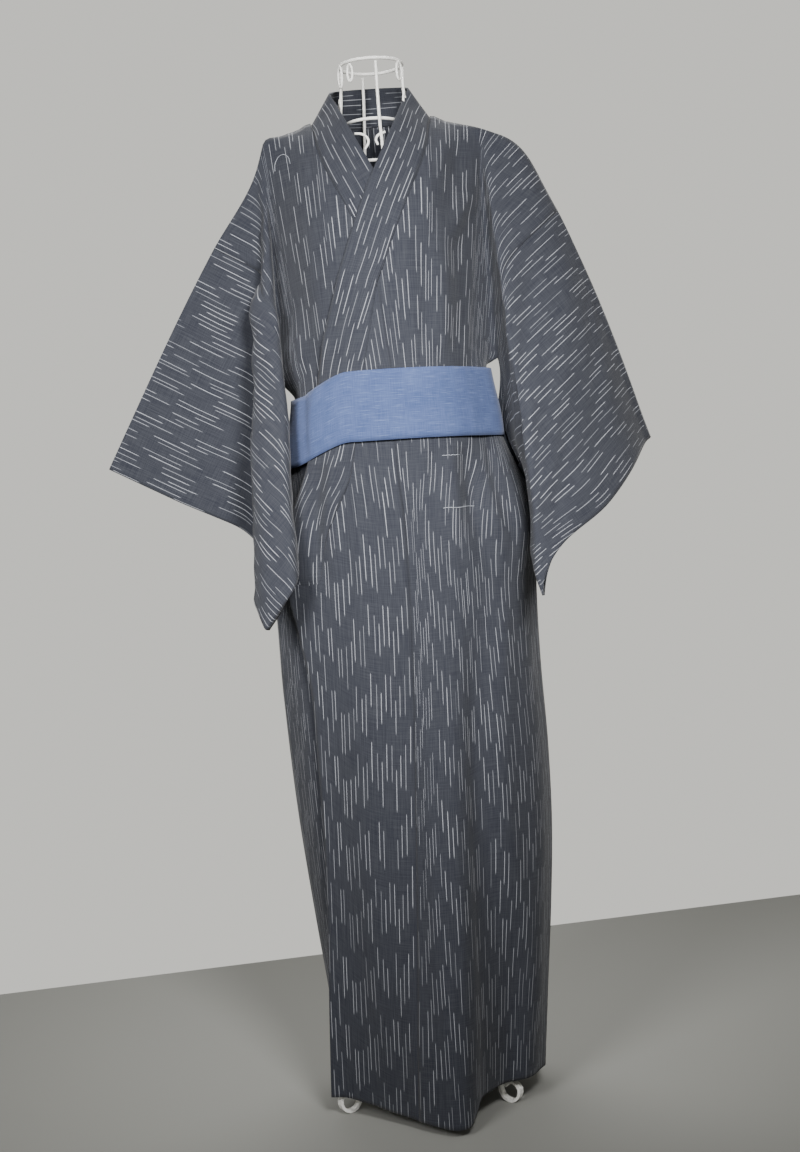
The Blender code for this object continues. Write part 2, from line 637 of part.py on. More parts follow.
def collar_stations(over, columns):
    """Stations of the collar on one front, from its lower end to the side of the neck."""
    across = np.linspace(0.0, 1.0, columns)[None]
    rows = LEFT_OKUMI if over else RIGHT_OKUMI
    side = 1.0 if over else -1.0
    z = np.array(COLLAR_LEVELS)[:, None] * np.ones_like(across)
    share = curve(COLLAR_SHARE, z)[..., 0] * across
    parts = [okumi_surface(rows, over, share, z)]
    levels = np.array(OKUMI_LEVELS[1:])[:, None]
    inner_x = curve(COLLAR_LOW, levels[:, 0])
    inner_z = levels + 0.010 * (levels - BELT_TOP) / (OKUMI_POINT - BELT_TOP)
    x = inner_x + (outer_edge(levels) - inner_x) * across
    z = inner_z + (levels - inner_z) * across
    parts.append(chest_point(x, z, over))
    edges = curve([row[1:] for row in NECK_FRONT], np.array(NECK_COLUMNS))
    x = edges[:, 2:3] + (edges[:, 0:1] - edges[:, 2:3]) * across
    z = edges[:, 4:5] + (edges[:, 1:2] - edges[:, 4:5]) * across
    hugging = chest_point(x, z, over)
    start = chest(edges[:, 0:1], edges[:, 1:2], over)
    lift = LAYER * smooth((ridge(edges[:, 2:3]) - edges[:, 4:5]) / 0.08) if over else 0.0
    loose = -edges[:, 3:4] - lift
    y = loose + (start - loose) * across
    free = np.stack([side * x, y, z], axis=-1)
    leave = smooth((np.array(NECK_COLUMNS) - 0.042) / 0.033)[:, None, None]
    parts.append(hugging * (1 - leave) + free * leave)
    return np.concatenate(parts)


def collar_back(side, columns):
    """Stations of the collar from the side of the neck to the centre back."""
    across = np.linspace(0.0, 1.0, columns)[None, :, None]
    edges = curve([row[1:] for row in NECK_BACK], np.array(NECK_COLUMNS[::-1]))
    flip = (side, -1.0, 1.0)
    outer = edges[:, None, 0:3] * flip
    inner = edges[:, None, 3:6] * flip
    return inner + (outer - inner) * across


def collar_grid(columns):
    """Collar band from the left front's end, round the neck, to the right front's end."""
    left = np.concatenate([collar_stations(True, columns), collar_back(1.0, columns)[1:]])
    right = np.concatenate([collar_stations(False, columns), collar_back(-1.0, columns)[1:]])
    return np.concatenate([left, right[::-1][1:]])


def sleeve_grid(side):
    """Rings of a sleeve: down its front layer from the folded top, and up its back layer."""
    start = BODY_WIDTH - SHOULDER_WIDTH
    scale = (SHOULDER_Z - tie(side, np.array(BODY_WIDTH))) / 0.98
    seam = [(1.0 - rise) * scale for rise in RISES[::-1]]
    down = [max(float(d), 1e-6) for d in seam if d < ARMHOLE] + list(SLEEVE_TAIL_ROWS)
    along = (start + np.array(SLEEVE_COLUMNS))[:, None]
    along, down = np.broadcast_arrays(along, np.array(down)[None])
    front, n = layer(side, True, along, down)
    nested = fan(side, True, along, down, nest=True) + n * FOLD
    closed = smooth((along - start - SLEEVE_WIDTH + 0.05) / 0.05)
    closed = 0.7 * (closed * smooth((down - WRIST_OPENING + 0.03) / 0.04))[..., None]
    nested = nested * (1 - closed) + (front + n * 2.6 * FOLD) * closed
    behind, _ = layer(side, False, along, down)
    angle = np.degrees(np.arctan2(down, along))
    if side < 0:
        hug = (smooth((angle - 51.0) / 6.0) * smooth((down - 0.36) / 0.06))[..., None]
        nested = nested * (1 - hug) + (front + (side * 0.0055, 0.0, 0.0)) * hug
    clear = 0.006 * smooth((down - ARMHOLE) / 0.03) * (1.0 - smooth((down - 0.36) / 0.06))
    clear = clear * smooth((angle - 50.0) / 8.0)
    for part in (front, nested, behind):
        part[..., 0] += side * clear
    away = smooth((along - start) / 0.22)
    begin = ARMHOLE - 0.08 * smooth((along - start) / 0.06)
    spread = 0.14 + 0.05 * smooth((along - start) / 0.06)
    near = ((1.0 - away) * (1.0 - smooth((down - begin) / spread)))[..., None]
    rear = nested * (1 - near) + behind * near
    free = smooth((down - 0.17) / 0.04) * (1.0 - smooth((down - 0.41) / 0.05))
    free = free * (1.0 - smooth((along - start - 0.10) / 0.06)) * ((down > ARMHOLE) | (along > start + 0.01))
    rear = relax(rear, free[..., None], 60)
    off = smooth((down - 0.29) / 0.04) * (1.0 - smooth((down - 0.41) / 0.05))
    off = off * (1.0 - smooth((along - start) / 0.07))
    rear[..., 0] += side * (0.003 if side > 0 else 0.006) * off
    return front, rear


def hull(points):
    """Convex outline of points in a plane."""
    points = sorted(set(map(tuple, np.round(points, 6).tolist())))

    def half(items):
        line = []
        for p in items:
            while len(line) > 1:
                (ax, ay), (bx, by) = line[-2], line[-1]
                if (bx - ax) * (p[1] - ay) - (by - ay) * (p[0] - ax) > 0:
                    break
                line.pop()
            line.append(p)
        return line[:-1]

    return np.array(half(points) + half(points[::-1]))


def reach_of(outline, angle):
    """Distance from the middle to a closed outline, in a direction."""
    d = np.array([math.cos(angle), math.sin(angle)])
    best = 0.0
    for a, b in zip(outline, np.roll(outline, -1, axis=0)):
        e = b - a
        cross = d[0] * e[1] - d[1] * e[0]
        if abs(cross) < 1e-12:
            continue
        t = (a[0] * e[1] - a[1] * e[0]) / cross
        s = (a[0] * d[1] - a[1] * d[0]) / cross
        if t > 0 and -1e-9 <= s <= 1 + 1e-9:
            best = max(best, t)
    return best


def waist_outline(height):
    """Outline of all the cloth at one height behind the belt."""
    share = np.linspace(0.0, 1.0, 15)
    width = share * BODY_WIDTH
    found = []
    for side, front, rows in PANELS:
        z = np.full(15, height)
        above = height > tie(side, width)
        at = skirt(side, front, share, np.minimum(z, tie(side, width)), rows)[:, :2]
        rise = np.where(above, (height - tie(side, width)) / 0.35, 0.0)
        at_top = upper(side, front, width, rise)[:, :2]
        found.append(np.where(above[:, None], at_top, at)[(width < 0.28) | ~above])
    z = np.full(9, height)
    edge = okumi_surface(LEFT_OKUMI, True, np.linspace(0.0, 1.0, 9), np.minimum(z, BELT_TOP))[:, :2]
    found.append(edge * (1.0 + 0.0006 / np.linalg.norm(edge, axis=1, keepdims=True)))
    return hull(np.concatenate(found))


def belt_grid(stations, rows):
    """Belt: once round over the wrapped robe, with its end lapped over itself at the back."""
    heights = np.linspace(0.90, 1.08, 10)
    outlines = [waist_outline(h) for h in heights]
    start = math.radians(78.0)
    lap = BELT_LAP / 0.118
    angles = np.linspace(start, start + 2 * math.pi + lap, stations)
    points = []
    for a in angles:
        x = math.cos(a)
        tilt = BELT_TILT * smooth(np.array([(0.1 - x) / 1.0]))[0]
        z = BELT_MIDDLE - tilt + BELT_HEIGHT * (np.linspace(0.0, 1.0, rows) - 0.5)
        over = np.interp(a, [start, start + 2 * math.pi - 0.12, start + 2 * math.pi - 0.02], [0.0, 0.0, 1.0])
        out = CLOTH / 2 + BELT_WALL / 2 + WRAP_SHIFT + over * (BELT_WALL + 3 * GAP)
        reach = [reach_of(o, a) for o in outlines]
        radii = np.maximum(np.interp(z, heights, reach), np.interp(z - 0.012, heights, reach)) + out
        points.append(np.stack([radii * math.cos(a), radii * math.sin(a), z], axis=-1))
    return np.array(points)


# ---- building ---------------------------------------------------------------------------------


def material(name, colour, roughness, metallic=0.0):
    made = bpy.data.materials.new(name)
    made.use_nodes = True
    shader = made.node_tree.nodes["Principled BSDF"]
    shader.inputs["Base Color"].default_value = (*colour, 1.0)
    shader.inputs["Roughness"].default_value = roughness
    shader.inputs["Metallic"].default_value = metallic
    return made


def cloth(name, points, wall, finish, collection, closed=False):
    """One cloth piece: an open grid of points given its wall with Solidify."""
    rows, columns = points.shape[:2]
    mesh = bpy.data.meshes.new(name)
    faces = []
    for i in range(rows - 1):
        for j in range(columns - (0 if closed else 1)):
            k = (j + 1) % columns
            faces.append((i * columns + j, i * columns + k, (i + 1) * columns + k, (i + 1) * columns + j))
    mesh.from_pydata(points.reshape(-1, 3).tolist(), [], faces)
    mesh.materials.append(finish)
    mesh.shade_smooth()
    piece = bpy.data.objects.new(name, mesh)
    collection.objects.link(piece)
    wall_modifier = piece.modifiers.new("Wall", "SOLIDIFY")
    wall_modifier.thickness = wall
    wall_modifier.offset = 0.0
    wall_modifier.use_even_offset = False
    return piece


def trim(points, axis, first, last):
    """Cuts a grid back by a small gap at its first or last edge along one way."""
    points = points.copy()
    points = np.moveaxis(points, axis, 0)
    if first:
        d = points[1] - points[0]
        long = np.maximum(np.linalg.norm(d, axis=-1, keepdims=True), 1e-9)
        points[0] += d / long * np.minimum(first, 0.4 * long)
    if last:
        d = points[-2] - points[-1]
        long = np.maximum(np.linalg.norm(d, axis=-1, keepdims=True), 1e-9)
        points[-1] += d / long * np.minimum(last, 0.4 * long)
    return np.moveaxis(points, 0, axis)


def wire(name, points, finish, collection, closed=False, thick=WIRE, sides=6):
    """One bent wire: a curve with a round bevel."""
    shape = bpy.data.curves.new(name, "CURVE")
    shape.dimensions = "3D"
    shape.bevel_depth = thick / 2
    shape.bevel_resolution = (sides - 4) // 2
    shape.use_fill_caps = not closed
    line = shape.splines.new("POLY")
    line.points.add(len(points) - 1)
    for spot, p in zip(line.points, points):
        spot.co = (*map(float, p), 1.0)
    line.use_cyclic_u = closed
    line.use_smooth = True
    shape.materials.append(finish)
    piece = bpy.data.objects.new(name, shape)
    collection.objects.link(piece)
    return piece


def leg_line(middle):
    """Centre line of a leg: distance from the pole and height, from the pole to the scroll's tip."""
    centre, radius = 0.018, 0.016
    line = [(0.0076, 0.200), (0.030, 0.196), (0.056, 0.176)]
    line += [(middle - 0.060, 0.142), (middle - 0.040, 0.098), (middle - 0.026, 0.058)]
    for step in range(15):
        turn = math.radians(191.25 + 22.5 * step)
        size = radius if step < 9 else radius - 0.0012 * (step - 8)
        line.append((middle + size * math.cos(turn), centre + size * math.sin(turn)))
    return line


def leg(name, heading, reach, finish, collection):
    """One leg: a flat bar bent into a scroll that stands on the floor."""
    line = np.array(leg_line(reach))
    wide, thick = 0.010, 0.004
    d = np.diff(line, axis=0)
    d = d / np.linalg.norm(d, axis=1, keepdims=True)
    n = np.stack([-d[:, 1], d[:, 0]], axis=1)
    at = np.concatenate([n[:1], n[:-1] + n[1:], n[-1:]])
    at = at / np.linalg.norm(at, axis=1, keepdims=True)
    cosine = np.concatenate([[1.0], np.sum(at[1:-1] * n[1:], axis=1), [1.0]])
    at = at * (thick / 2) / cosine[:, None]
    out = np.array([math.cos(heading), math.sin(heading), 0.0])
    aside = np.array([-math.sin(heading), math.cos(heading), 0.0])
    up = np.array([0.0, 0.0, 1.0])
    rings = []
    for p, q in ((line + at, 1.0), (line + at, -1.0), (line - at, -1.0), (line - at, 1.0)):
        rings.append(p[:, :1] * out + p[:, 1:] * up + q * wide / 2 * aside)
    points = np.stack(rings, axis=1)
    count = len(line)
    faces = [tuple(range(4)), tuple(range(4 * count - 1, 4 * count - 5, -1))]
    for i in range(count - 1):
        for j in range(4):
            k = (j + 1) % 4
            faces.append((i * 4 + j, i * 4 + 4 + j, i * 4 + 4 + k, i * 4 + k))
    mesh = bpy.data.meshes.new(name)
    mesh.from_pydata(points.reshape(-1, 3).tolist(), [], faces)
    mesh.materials.append(finish)
    work = bmesh.new()
    work.from_mesh(mesh)
    bmesh.ops.recalc_face_normals(work, faces=work.faces)
    work.to_mesh(mesh)
    work.free()
    piece = bpy.data.objects.new(name, mesh)
    collection.objects.link(piece)


def form(paint, collection):
    """Wire dress form: rings and ribs, a pole with its arms, and three scrolled legs."""
    middle = 0.005

    def ring(name, height, wide, ahead, behind, count, sides, shift=0.0):
        turn = np.linspace(0.0, 2 * math.pi, count, endpoint=False)
        y = np.where(np.sin(turn) > 0, behind, ahead) * np.sin(turn)
        points = np.stack([shift + wide * np.cos(turn), y, np.full(count, height)], axis=-1)
        wire(name, points, paint, collection, closed=True, sides=sides)

    ring("ring_neck", RING_TOP + WIRE / 2 - GAP, RING_RADIUS, RING_RADIUS, RING_RADIUS, 28, 8, middle)
    ring("ring_throat", 1.438, 0.0405, 0.0441, 0.0380, 20, 8, 0.003)
    for name, height, wide, ahead, behind in RINGS:
        ring(name, height, wide, ahead, behind, 24, 6)
    wire("rib_front", [(x, -y, z) for z, x, y in RIB_FRONT], paint, collection, sides=8)
    wire("rib_back", [(x, y, z) for z, x, y in RIB_BACK], paint, collection, sides=8)
    for name, side in (("rib_left", 1.0), ("rib_right", -1.0)):
        top = middle + side * RING_RADIUS
        points = [(top - side * 0.0005, 0.007, RING_TOP - 2.2 * GAP), (top - side * 0.0005, 0.007, 1.487)]
        points.append((top + side * 0.005, 0.005, 1.456))
        points.append((side * 0.0660, 0.0, 1.4405))
        for x, below in RIB_SIDE:
            points.append((side * x, 0.0, float(ridge(x)) - below))
        for z, x in RIB_DOWN:
            points.append((side * x, 0.0, z))
        wire(name, points, paint, collection)
    wire("pole", [(0.0, 0.0, 0.16), (0.0, 0.0, 1.262)], paint, collection, thick=POLE, sides=12)
    edge = POLE / 2 + GAP
    for name, height, wide, ahead, behind in RINGS[1:]:
        level = name.replace("ring_", "")
        back_off = WIRE / 2 + 2 * GAP
        for part, end in (
            ("left", (wide - back_off, 0.0)),
            ("right", (-wide + back_off, 0.0)),
            ("front", (0.0, -ahead + back_off)),
            ("back", (0.0, behind - back_off)),
        ):
            size = math.hypot(*end)
            begin = (end[0] / size * edge, end[1] / size * edge, height)
            wire("arm_%s_%s" % (level, part), [begin, (*end, height)], paint, collection)
    for name, heading, reach in LEGS:
        leg(name, math.radians(heading), reach, paint, collection)


PANELS = (
    (1.0, True, LEFT_FRONT),
    (-1.0, True, RIGHT_FRONT),
    (1.0, False, LEFT_BACK),
    (-1.0, False, RIGHT_BACK),
)


def build():
    for old in list(bpy.data.objects):
        bpy.data.objects.remove(old, do_unlink=True)
    robe = bpy.data.collections.new("yukata_on_wire_form")
    bpy.context.scene.collection.children.link(robe)
    cotton = material("charcoal_cotton", (0.085, 0.090, 0.105), 0.9)
    denim = material("slate_blue_cotton", (0.115, 0.178, 0.333), 0.85)
    paint = material("white_paint", (0.80, 0.80, 0.78), 0.4)

    side_widths = np.linspace(SHOULDER_WIDTH, BODY_WIDTH, SIDE_COLUMNS)[1:]
    widths = NECK_COLUMNS + SHOULDER_COLUMNS + tuple(side_widths)
    names = ("front_left", "front_right", "back_left", "back_right")
    levels = {1.0: seam_levels(LEFT_FRONT), -1.0: seam_levels(RIGHT_FRONT)}
    for name, (side, front, rows) in zip(names, PANELS):
        points = body_panel(side, front, rows, levels[side], widths)
        points = trim(points, 1, GAP / 2 + 0.0002, GAP / 2 + 0.0005)
        points[-1, : len(NECK_COLUMNS)] += (side * 0.0005, 0.0, -0.0004) if front else (0.0, 0.0012, -0.0004)
        cloth(name, points, CLOTH, cotton, robe)
    for name, over, rows, front_rows in (
        ("okumi_left", True, LEFT_OKUMI, LEFT_FRONT),
        ("okumi_right", False, RIGHT_OKUMI, RIGHT_FRONT),
    ):
        points = okumi(over, rows, 6, front_rows)
        points = trim(points, 1, GAP / 2, GAP / 2)
        cloth(name, points, CLOTH, cotton, robe)
    for name, side in (("sleeve_left", 1.0), ("sleeve_right", -1.0)):
        front, rear = sleeve_grid(side)
        ring = np.concatenate([front, rear[:, ::-1]], axis=1)
        cloth(name, ring, SLEEVE_WALL, cotton, robe, closed=True)
    band = trim(collar_grid(4), 1, 0.0, GAP / 2)
    cloth("collar", band, BAND, cotton, robe)
    ends = len(COLLAR_LEVELS) + len(OKUMI_LEVELS) - 1 + NECK_COLUMNS.index(0.055)
    outward = normals_of(band)
    if outward[0, 0, 1] > 0:
        outward = -outward
    cover = trim(band + outward * (BAND / 2 + CLOTH / 2 + 3 * GAP), 1, 0.0, 0.0035)
    cloth("over_collar", cover[ends:-ends], CLOTH, cotton, robe)
    cloth("belt", belt_grid(60, 2), BELT_WALL, denim, robe)
    form(paint, robe)
    for piece in robe.objects:
        piece.data.transform(Matrix.Translation(ORIGIN_SHIFT))


build()
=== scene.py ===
import math

import bpy
import numpy as np
from mathutils import Matrix


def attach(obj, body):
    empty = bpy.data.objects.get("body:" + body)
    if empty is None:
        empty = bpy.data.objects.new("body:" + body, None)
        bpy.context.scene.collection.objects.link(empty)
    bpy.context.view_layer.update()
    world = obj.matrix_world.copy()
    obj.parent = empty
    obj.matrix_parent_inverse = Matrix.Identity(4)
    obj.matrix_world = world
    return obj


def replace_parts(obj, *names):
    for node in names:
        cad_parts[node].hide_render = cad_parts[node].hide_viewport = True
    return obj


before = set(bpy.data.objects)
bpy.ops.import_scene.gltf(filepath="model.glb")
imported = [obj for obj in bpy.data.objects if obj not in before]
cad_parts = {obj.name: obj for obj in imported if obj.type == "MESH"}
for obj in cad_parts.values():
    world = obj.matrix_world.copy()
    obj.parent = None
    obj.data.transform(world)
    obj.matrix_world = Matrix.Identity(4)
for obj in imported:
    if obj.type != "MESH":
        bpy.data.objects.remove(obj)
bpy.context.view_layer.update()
print("frame loaded:", len(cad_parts), "solids")


# Linear colour with full cover from a six-digit sRGB hex code.
def toLinear(hexText):
    parts = [int(hexText[i : i + 2], 16) / 255 for i in (0, 2, 4)]
    light = [p / 12.92 if p <= 0.04045 else ((p + 0.055) / 1.055) ** 2.4 for p in parts]
    return (*light, 1.0)


# Adds a node with its settings, and sets or links its sockets. A node given as a value is linked
# from its first output.
def addNode(tree, kind, sockets=None, **settings):
    node = tree.nodes.new("ShaderNode" + kind)
    for name, value in settings.items():
        setattr(node, name, value)
    for name, value in (sockets or {}).items():
        socket = node.inputs[name]
        if isinstance(value, bpy.types.Node):
            value = value.outputs[0]
        if isinstance(value, bpy.types.NodeSocket):
            tree.links.new(value, socket)
        else:
            socket.default_value = value
    return node


def newMaterial(name):
    made = bpy.data.materials.new(name)
    made.use_nodes = True
    made.node_tree.nodes.clear()
    return made, made.node_tree


# Ends a material: a bump from its height, and a shader with these settings.
def closeMaterial(tree, height, strength, distance, settings):
    bump = addNode(tree, "Bump", {"Height": height, "Strength": strength, "Distance": distance})
    shader = addNode(tree, "BsdfPrincipled", {**settings, "Normal": bump})
    addNode(tree, "OutputMaterial", {"Surface": shader})


# A turn from the three directions that its own axes point in.
def turnFrom(x, y, z):
    return Matrix(np.stack([x, y, z], axis=1).tolist())


camera = {
    "place": (0.0140, -2.4367, 0.8897),
    "downTilt": 2.7,  # degrees
    "roll": 3.7,
    "lens": 51.56,
}


def makeCamera():
    data = bpy.data.cameras.new("camera")
    data.sensor_width = 36.0
    data.lens = camera["lens"]
    data.clip_end = 50.0
    eye = bpy.data.objects.new("camera", data)
    bpy.context.scene.collection.objects.link(eye)
    tilt, roll = math.radians(camera["downTilt"]), math.radians(camera["roll"])
    ahead = np.array([0.0, math.cos(tilt), -math.sin(tilt)])
    up = np.array([0.0, math.sin(tilt), math.cos(tilt)])
    right = np.array([1.0, 0.0, 0.0])
    x = math.cos(roll) * right - math.sin(roll) * up
    y = math.sin(roll) * right + math.cos(roll) * up
    eye.matrix_world = Matrix.Translation(camera["place"]) @ turnFrom(x, y, -ahead).to_4x4()
    bpy.context.scene.camera = eye


studio = {
    "floorColour": "8d8d88",
    "wallColour": "dcdbd5",
    "floorSize": (3.6, 1.9),
    "floorTurn": 12.6,  # degrees
    "floorPlace": (0.0, -0.14, -0.0005),
    # The room's light from the camera's side and from behind the robe, and where one starts to
    # turn into the other and has done so, as shares of the way back.
    "worldAhead": 0.28,
    "worldBehind": 1.06,
    "worldFrom": 0.35,
    "worldTo": 0.92,
    # Name, place, aims at, size, power in watts, width of the beam in degrees.
    "lamps": (
        ("key", (0.45, -1.70, 1.70), (0.0, 0.0, 0.94), 0.5, 9.2, 62.0),
        ("fill", (-1.0, -1.8, 1.55), (-0.05, 0.0, 0.92), 0.9, 8.6, 62.0),
        ("top", (0.0, 0.9, 2.6), (0.0, 0.0, 1.3), 1.2, 12.0, 120.0),
    ),
}


def makeStudio():
    bpy.ops.object.select_all(action="DESELECT")
    bpy.ops.mesh.primitive_plane_add(size=1.0)
    floor = bpy.context.object
    floor.name = "floor"
    floor.data.transform(Matrix.Diagonal((*studio["floorSize"], 1.0, 1.0)))
    floor.data.transform(Matrix.Rotation(math.radians(studio["floorTurn"]), 4, "Z"))
    floor.data.transform(Matrix.Translation(studio["floorPlace"]))
    # floor paint: matte, so the robe's shadow stays soft on it
    matte, tree = newMaterial("paleMattePaint")
    colour = toLinear(studio["floorColour"])
    shader = addNode(tree, "BsdfPrincipled", {"Base Color": colour, "Roughness": 0.8})
    addNode(tree, "OutputMaterial", {"Surface": shader})
    floor.data.materials.append(matte)
    world = bpy.data.worlds.new("paleRoom")
    bpy.context.scene.world = world
    world.use_nodes = True
    tree = world.node_tree
    tree.nodes.clear()
    way = addNode(tree, "SeparateXYZ", {0: addNode(tree, "TexCoord").outputs["Generated"]})
    turn = {"Value": way.outputs[1], "From Min": studio["worldFrom"], "From Max": studio["worldTo"]}
    turn.update({"To Min": studio["worldAhead"], "To Max": studio["worldBehind"]})
    behind = addNode(tree, "MapRange", turn, interpolation_type="SMOOTHSTEP")
    colour = toLinear(studio["wallColour"])
    glow = addNode(tree, "Background", {"Color": colour, "Strength": behind})
    addNode(tree, "OutputWorld", {"Surface": glow})
    for name, place, aim, size, power, spread in studio["lamps"]:
        data = bpy.data.lights.new(name, "AREA")
        data.shape = "DISK"
        data.size = size
        data.energy = power
        data.spread = math.radians(spread)
        lamp = bpy.data.objects.new(name, data)
        bpy.context.scene.collection.objects.link(lamp)
        lamp.location = place
        way = np.array(aim) - np.array(place)
        z = -way / np.linalg.norm(way)
        x = np.cross((0.0, 0.0, 1.0), z)
        x = x / np.linalg.norm(x)
        lamp.rotation_euler = turnFrom(x, np.cross(z, x), z).to_euler()


makeCamera()
makeStudio()
print("camera and studio placed")


# Noise drawn out to streaks by its two scales, across and along the cloth.
def streaks(tree, place, scales, detail=3.0):
    drawn = addNode(tree, "VectorMath", {0: place, 1: (*scales, 0.0)}, operation="MULTIPLY")
    return addNode(tree, "TexNoise", {"Vector": drawn, "Scale": 1.0, "Detail": detail})


# Adds to a height the bumps of threads that cross over and under each other.
def weave(tree, place, thread, share, height):
    turn = 2 * math.pi / thread
    turns = addNode(tree, "VectorMath", {0: place, 1: (turn, turn, 0.0)}, operation="MULTIPLY")
    waved = addNode(tree, "VectorMath", {0: turns}, operation="SINE")
    both = addNode(tree, "SeparateXYZ", {0: waved})
    crossed = {0: both.outputs[0], 1: both.outputs[1]}
    crossed = addNode(tree, "Math", crossed, operation="MULTIPLY")
    return addNode(tree, "Math", {0: crossed, 1: share, 2: height}, operation="MULTIPLY_ADD")


cottonFinish = {
    "ground": "36383e",  # charcoal warp
    "groundDark": "22242d",  # where more of the navy weft shows
    "dash": "a0a2a8",  # undyed warp left white
    "lineSpacing": 0.0070,
    "dashWidth": 0.00092,
    "period": 0.098,  # one dash and the gap after it
    "group": 2.6,  # neighbouring lines whose dashes step down one after another
    "thread": 0.0011,  # the real threads are 0.35 mm apart: drawn coarser, so that they show
}


# Plain-woven cotton, yarn-dyed charcoal, with short lengths of the warp left white: it is matte, a
# little fuzzy at grazing angles, and its thick and thin threads give faint streaks both ways.
def cottonMaterial(name):
    c = cottonFinish
    made, tree = newMaterial(name)

    place = addNode(tree, "TexCoord").outputs["UV"]
    scale = (1.0 / c["lineSpacing"], 1.0 / c["period"], 0.0)
    scaled = addNode(tree, "VectorMath", {0: place, 1: scale}, operation="MULTIPLY")
    split = addNode(tree, "SeparateXYZ", {0: scaled})

    # Each line of warp has its own place in its strip, and wanders a little along its length.
    index = addNode(tree, "Math", {0: split.outputs[0]}, operation="FLOOR")
    own = addNode(tree, "TexWhiteNoise", {"W": index}, noise_dimensions="1D")
    owns = addNode(tree, "SeparateColor", {0: own.outputs["Color"]})
    wander = streaks(tree, place, (45.0, 9.0), 1.0)
    off = addNode(tree, "Math", {0: split.outputs[0]}, operation="FRACT")
    for value, share in ((owns.outputs[0], -0.40), (wander, -0.14)):
        off = addNode(tree, "Math", {0: value, 1: share, 2: off}, operation="MULTIPLY_ADD")
    off = addNode(tree, "Math", {0: off, 1: -0.23}, operation="ADD")
    off = addNode(tree, "Math", {0: off}, operation="ABSOLUTE")
    half = c["dashWidth"] / c["lineSpacing"] / 2
    edge = {"Value": off, "From Min": half * 0.7, "From Max": half * 1.25}
    inLine = addNode(tree, "MapRange", {**edge, "To Min": 1.0, "To Max": 0.0})

    # Along the line the dashes follow each other, and neighbouring lines are stepped.
    group = addNode(tree, "Math", {0: index, 1: c["group"]}, operation="SNAP")
    start = addNode(tree, "TexWhiteNoise", {"W": group}, noise_dimensions="1D")
    step = split.outputs[1]
    for value, share in ((start, 7.0), (index, 0.27), (owns.outputs[1], 0.80)):
        step = addNode(tree, "Math", {0: value, 1: share, 2: step}, operation="MULTIPLY_ADD")
    cell = addNode(tree, "Math", {0: step}, operation="FLOOR")
    within = addNode(tree, "Math", {0: step}, operation="FRACT")
    spot = addNode(tree, "CombineXYZ", {0: index, 1: cell})
    each = addNode(tree, "TexWhiteNoise", {"Vector": spot}, noise_dimensions="3D")
    eachs = addNode(tree, "SeparateColor", {0: each.outputs["Color"]})
    share = addNode(tree, "MapRange", {"Value": each, "To Min": 0.44, "To Max": 0.70})
    left = addNode(tree, "Math", {0: share, 1: within}, operation="SUBTRACT")
    # the white yarn is thick and thin, so a dash is broken up along its length
    uneven = streaks(tree, place, (900.0, 60.0), 2.0)
    dash = inLine
    for ranges in (
        {"Value": left, "From Max": 0.05},  # its end
        {"Value": within, "From Max": 0.03},  # its beginning
        {"Value": eachs.outputs[1], "From Min": 0.04, "From Max": 0.06},  # a few are missing
        {"Value": eachs.outputs[2], "To Min": 0.36, "To Max": 0.88},  # some are fainter
        {"Value": uneven, "To Min": 0.62, "To Max": 1.32},
    ):
        part = addNode(tree, "MapRange", ranges)
        dash = addNode(tree, "Math", {0: dash, 1: part}, operation="MULTIPLY", use_clamp=True)

    both = {2: streaks(tree, place, (700.0, 22.0)), 3: streaks(tree, place, (26.0, 800.0))}
    streak = addNode(tree, "Mix", {0: 0.45, **both})
    streak = addNode(tree, "MapRange", {"Value": streak, "From Min": 0.36, "From Max": 0.64})
    shades = {0: streak, 6: toLinear(c["groundDark"]), 7: toLinear(c["ground"])}
    ground = addNode(tree, "Mix", shades, data_type="RGBA")
    shades = {0: dash, 6: ground.outputs[2], 7: toLinear(c["dash"])}
    colour = addNode(tree, "Mix", shades, data_type="RGBA")
    height = weave(tree, place, c["thread"], 0.25, streak)
    # the white yarn stands a little proud
    height = addNode(tree, "Math", {0: dash, 1: 0.35, 2: height}, operation="MULTIPLY_ADD")
    settings = {
        "Base Color": colour.outputs[2],
        "Roughness": 0.86,
        "Specular IOR Level": 0.22,
        "Sheen Weight": 0.10,
        "Sheen Roughness": 0.5,
    }
    closeMaterial(tree, height, 0.35, 0.0004, settings)
    return made


beltFinish = {
    "warp": "4b5a82",
    "weft": "324168",
    "fleck": "6b7ba0",  # thick threads, where the dye took less
    "thread": 0.0013,  # threads of 0.6 mm, drawn coarser, so that they show
}


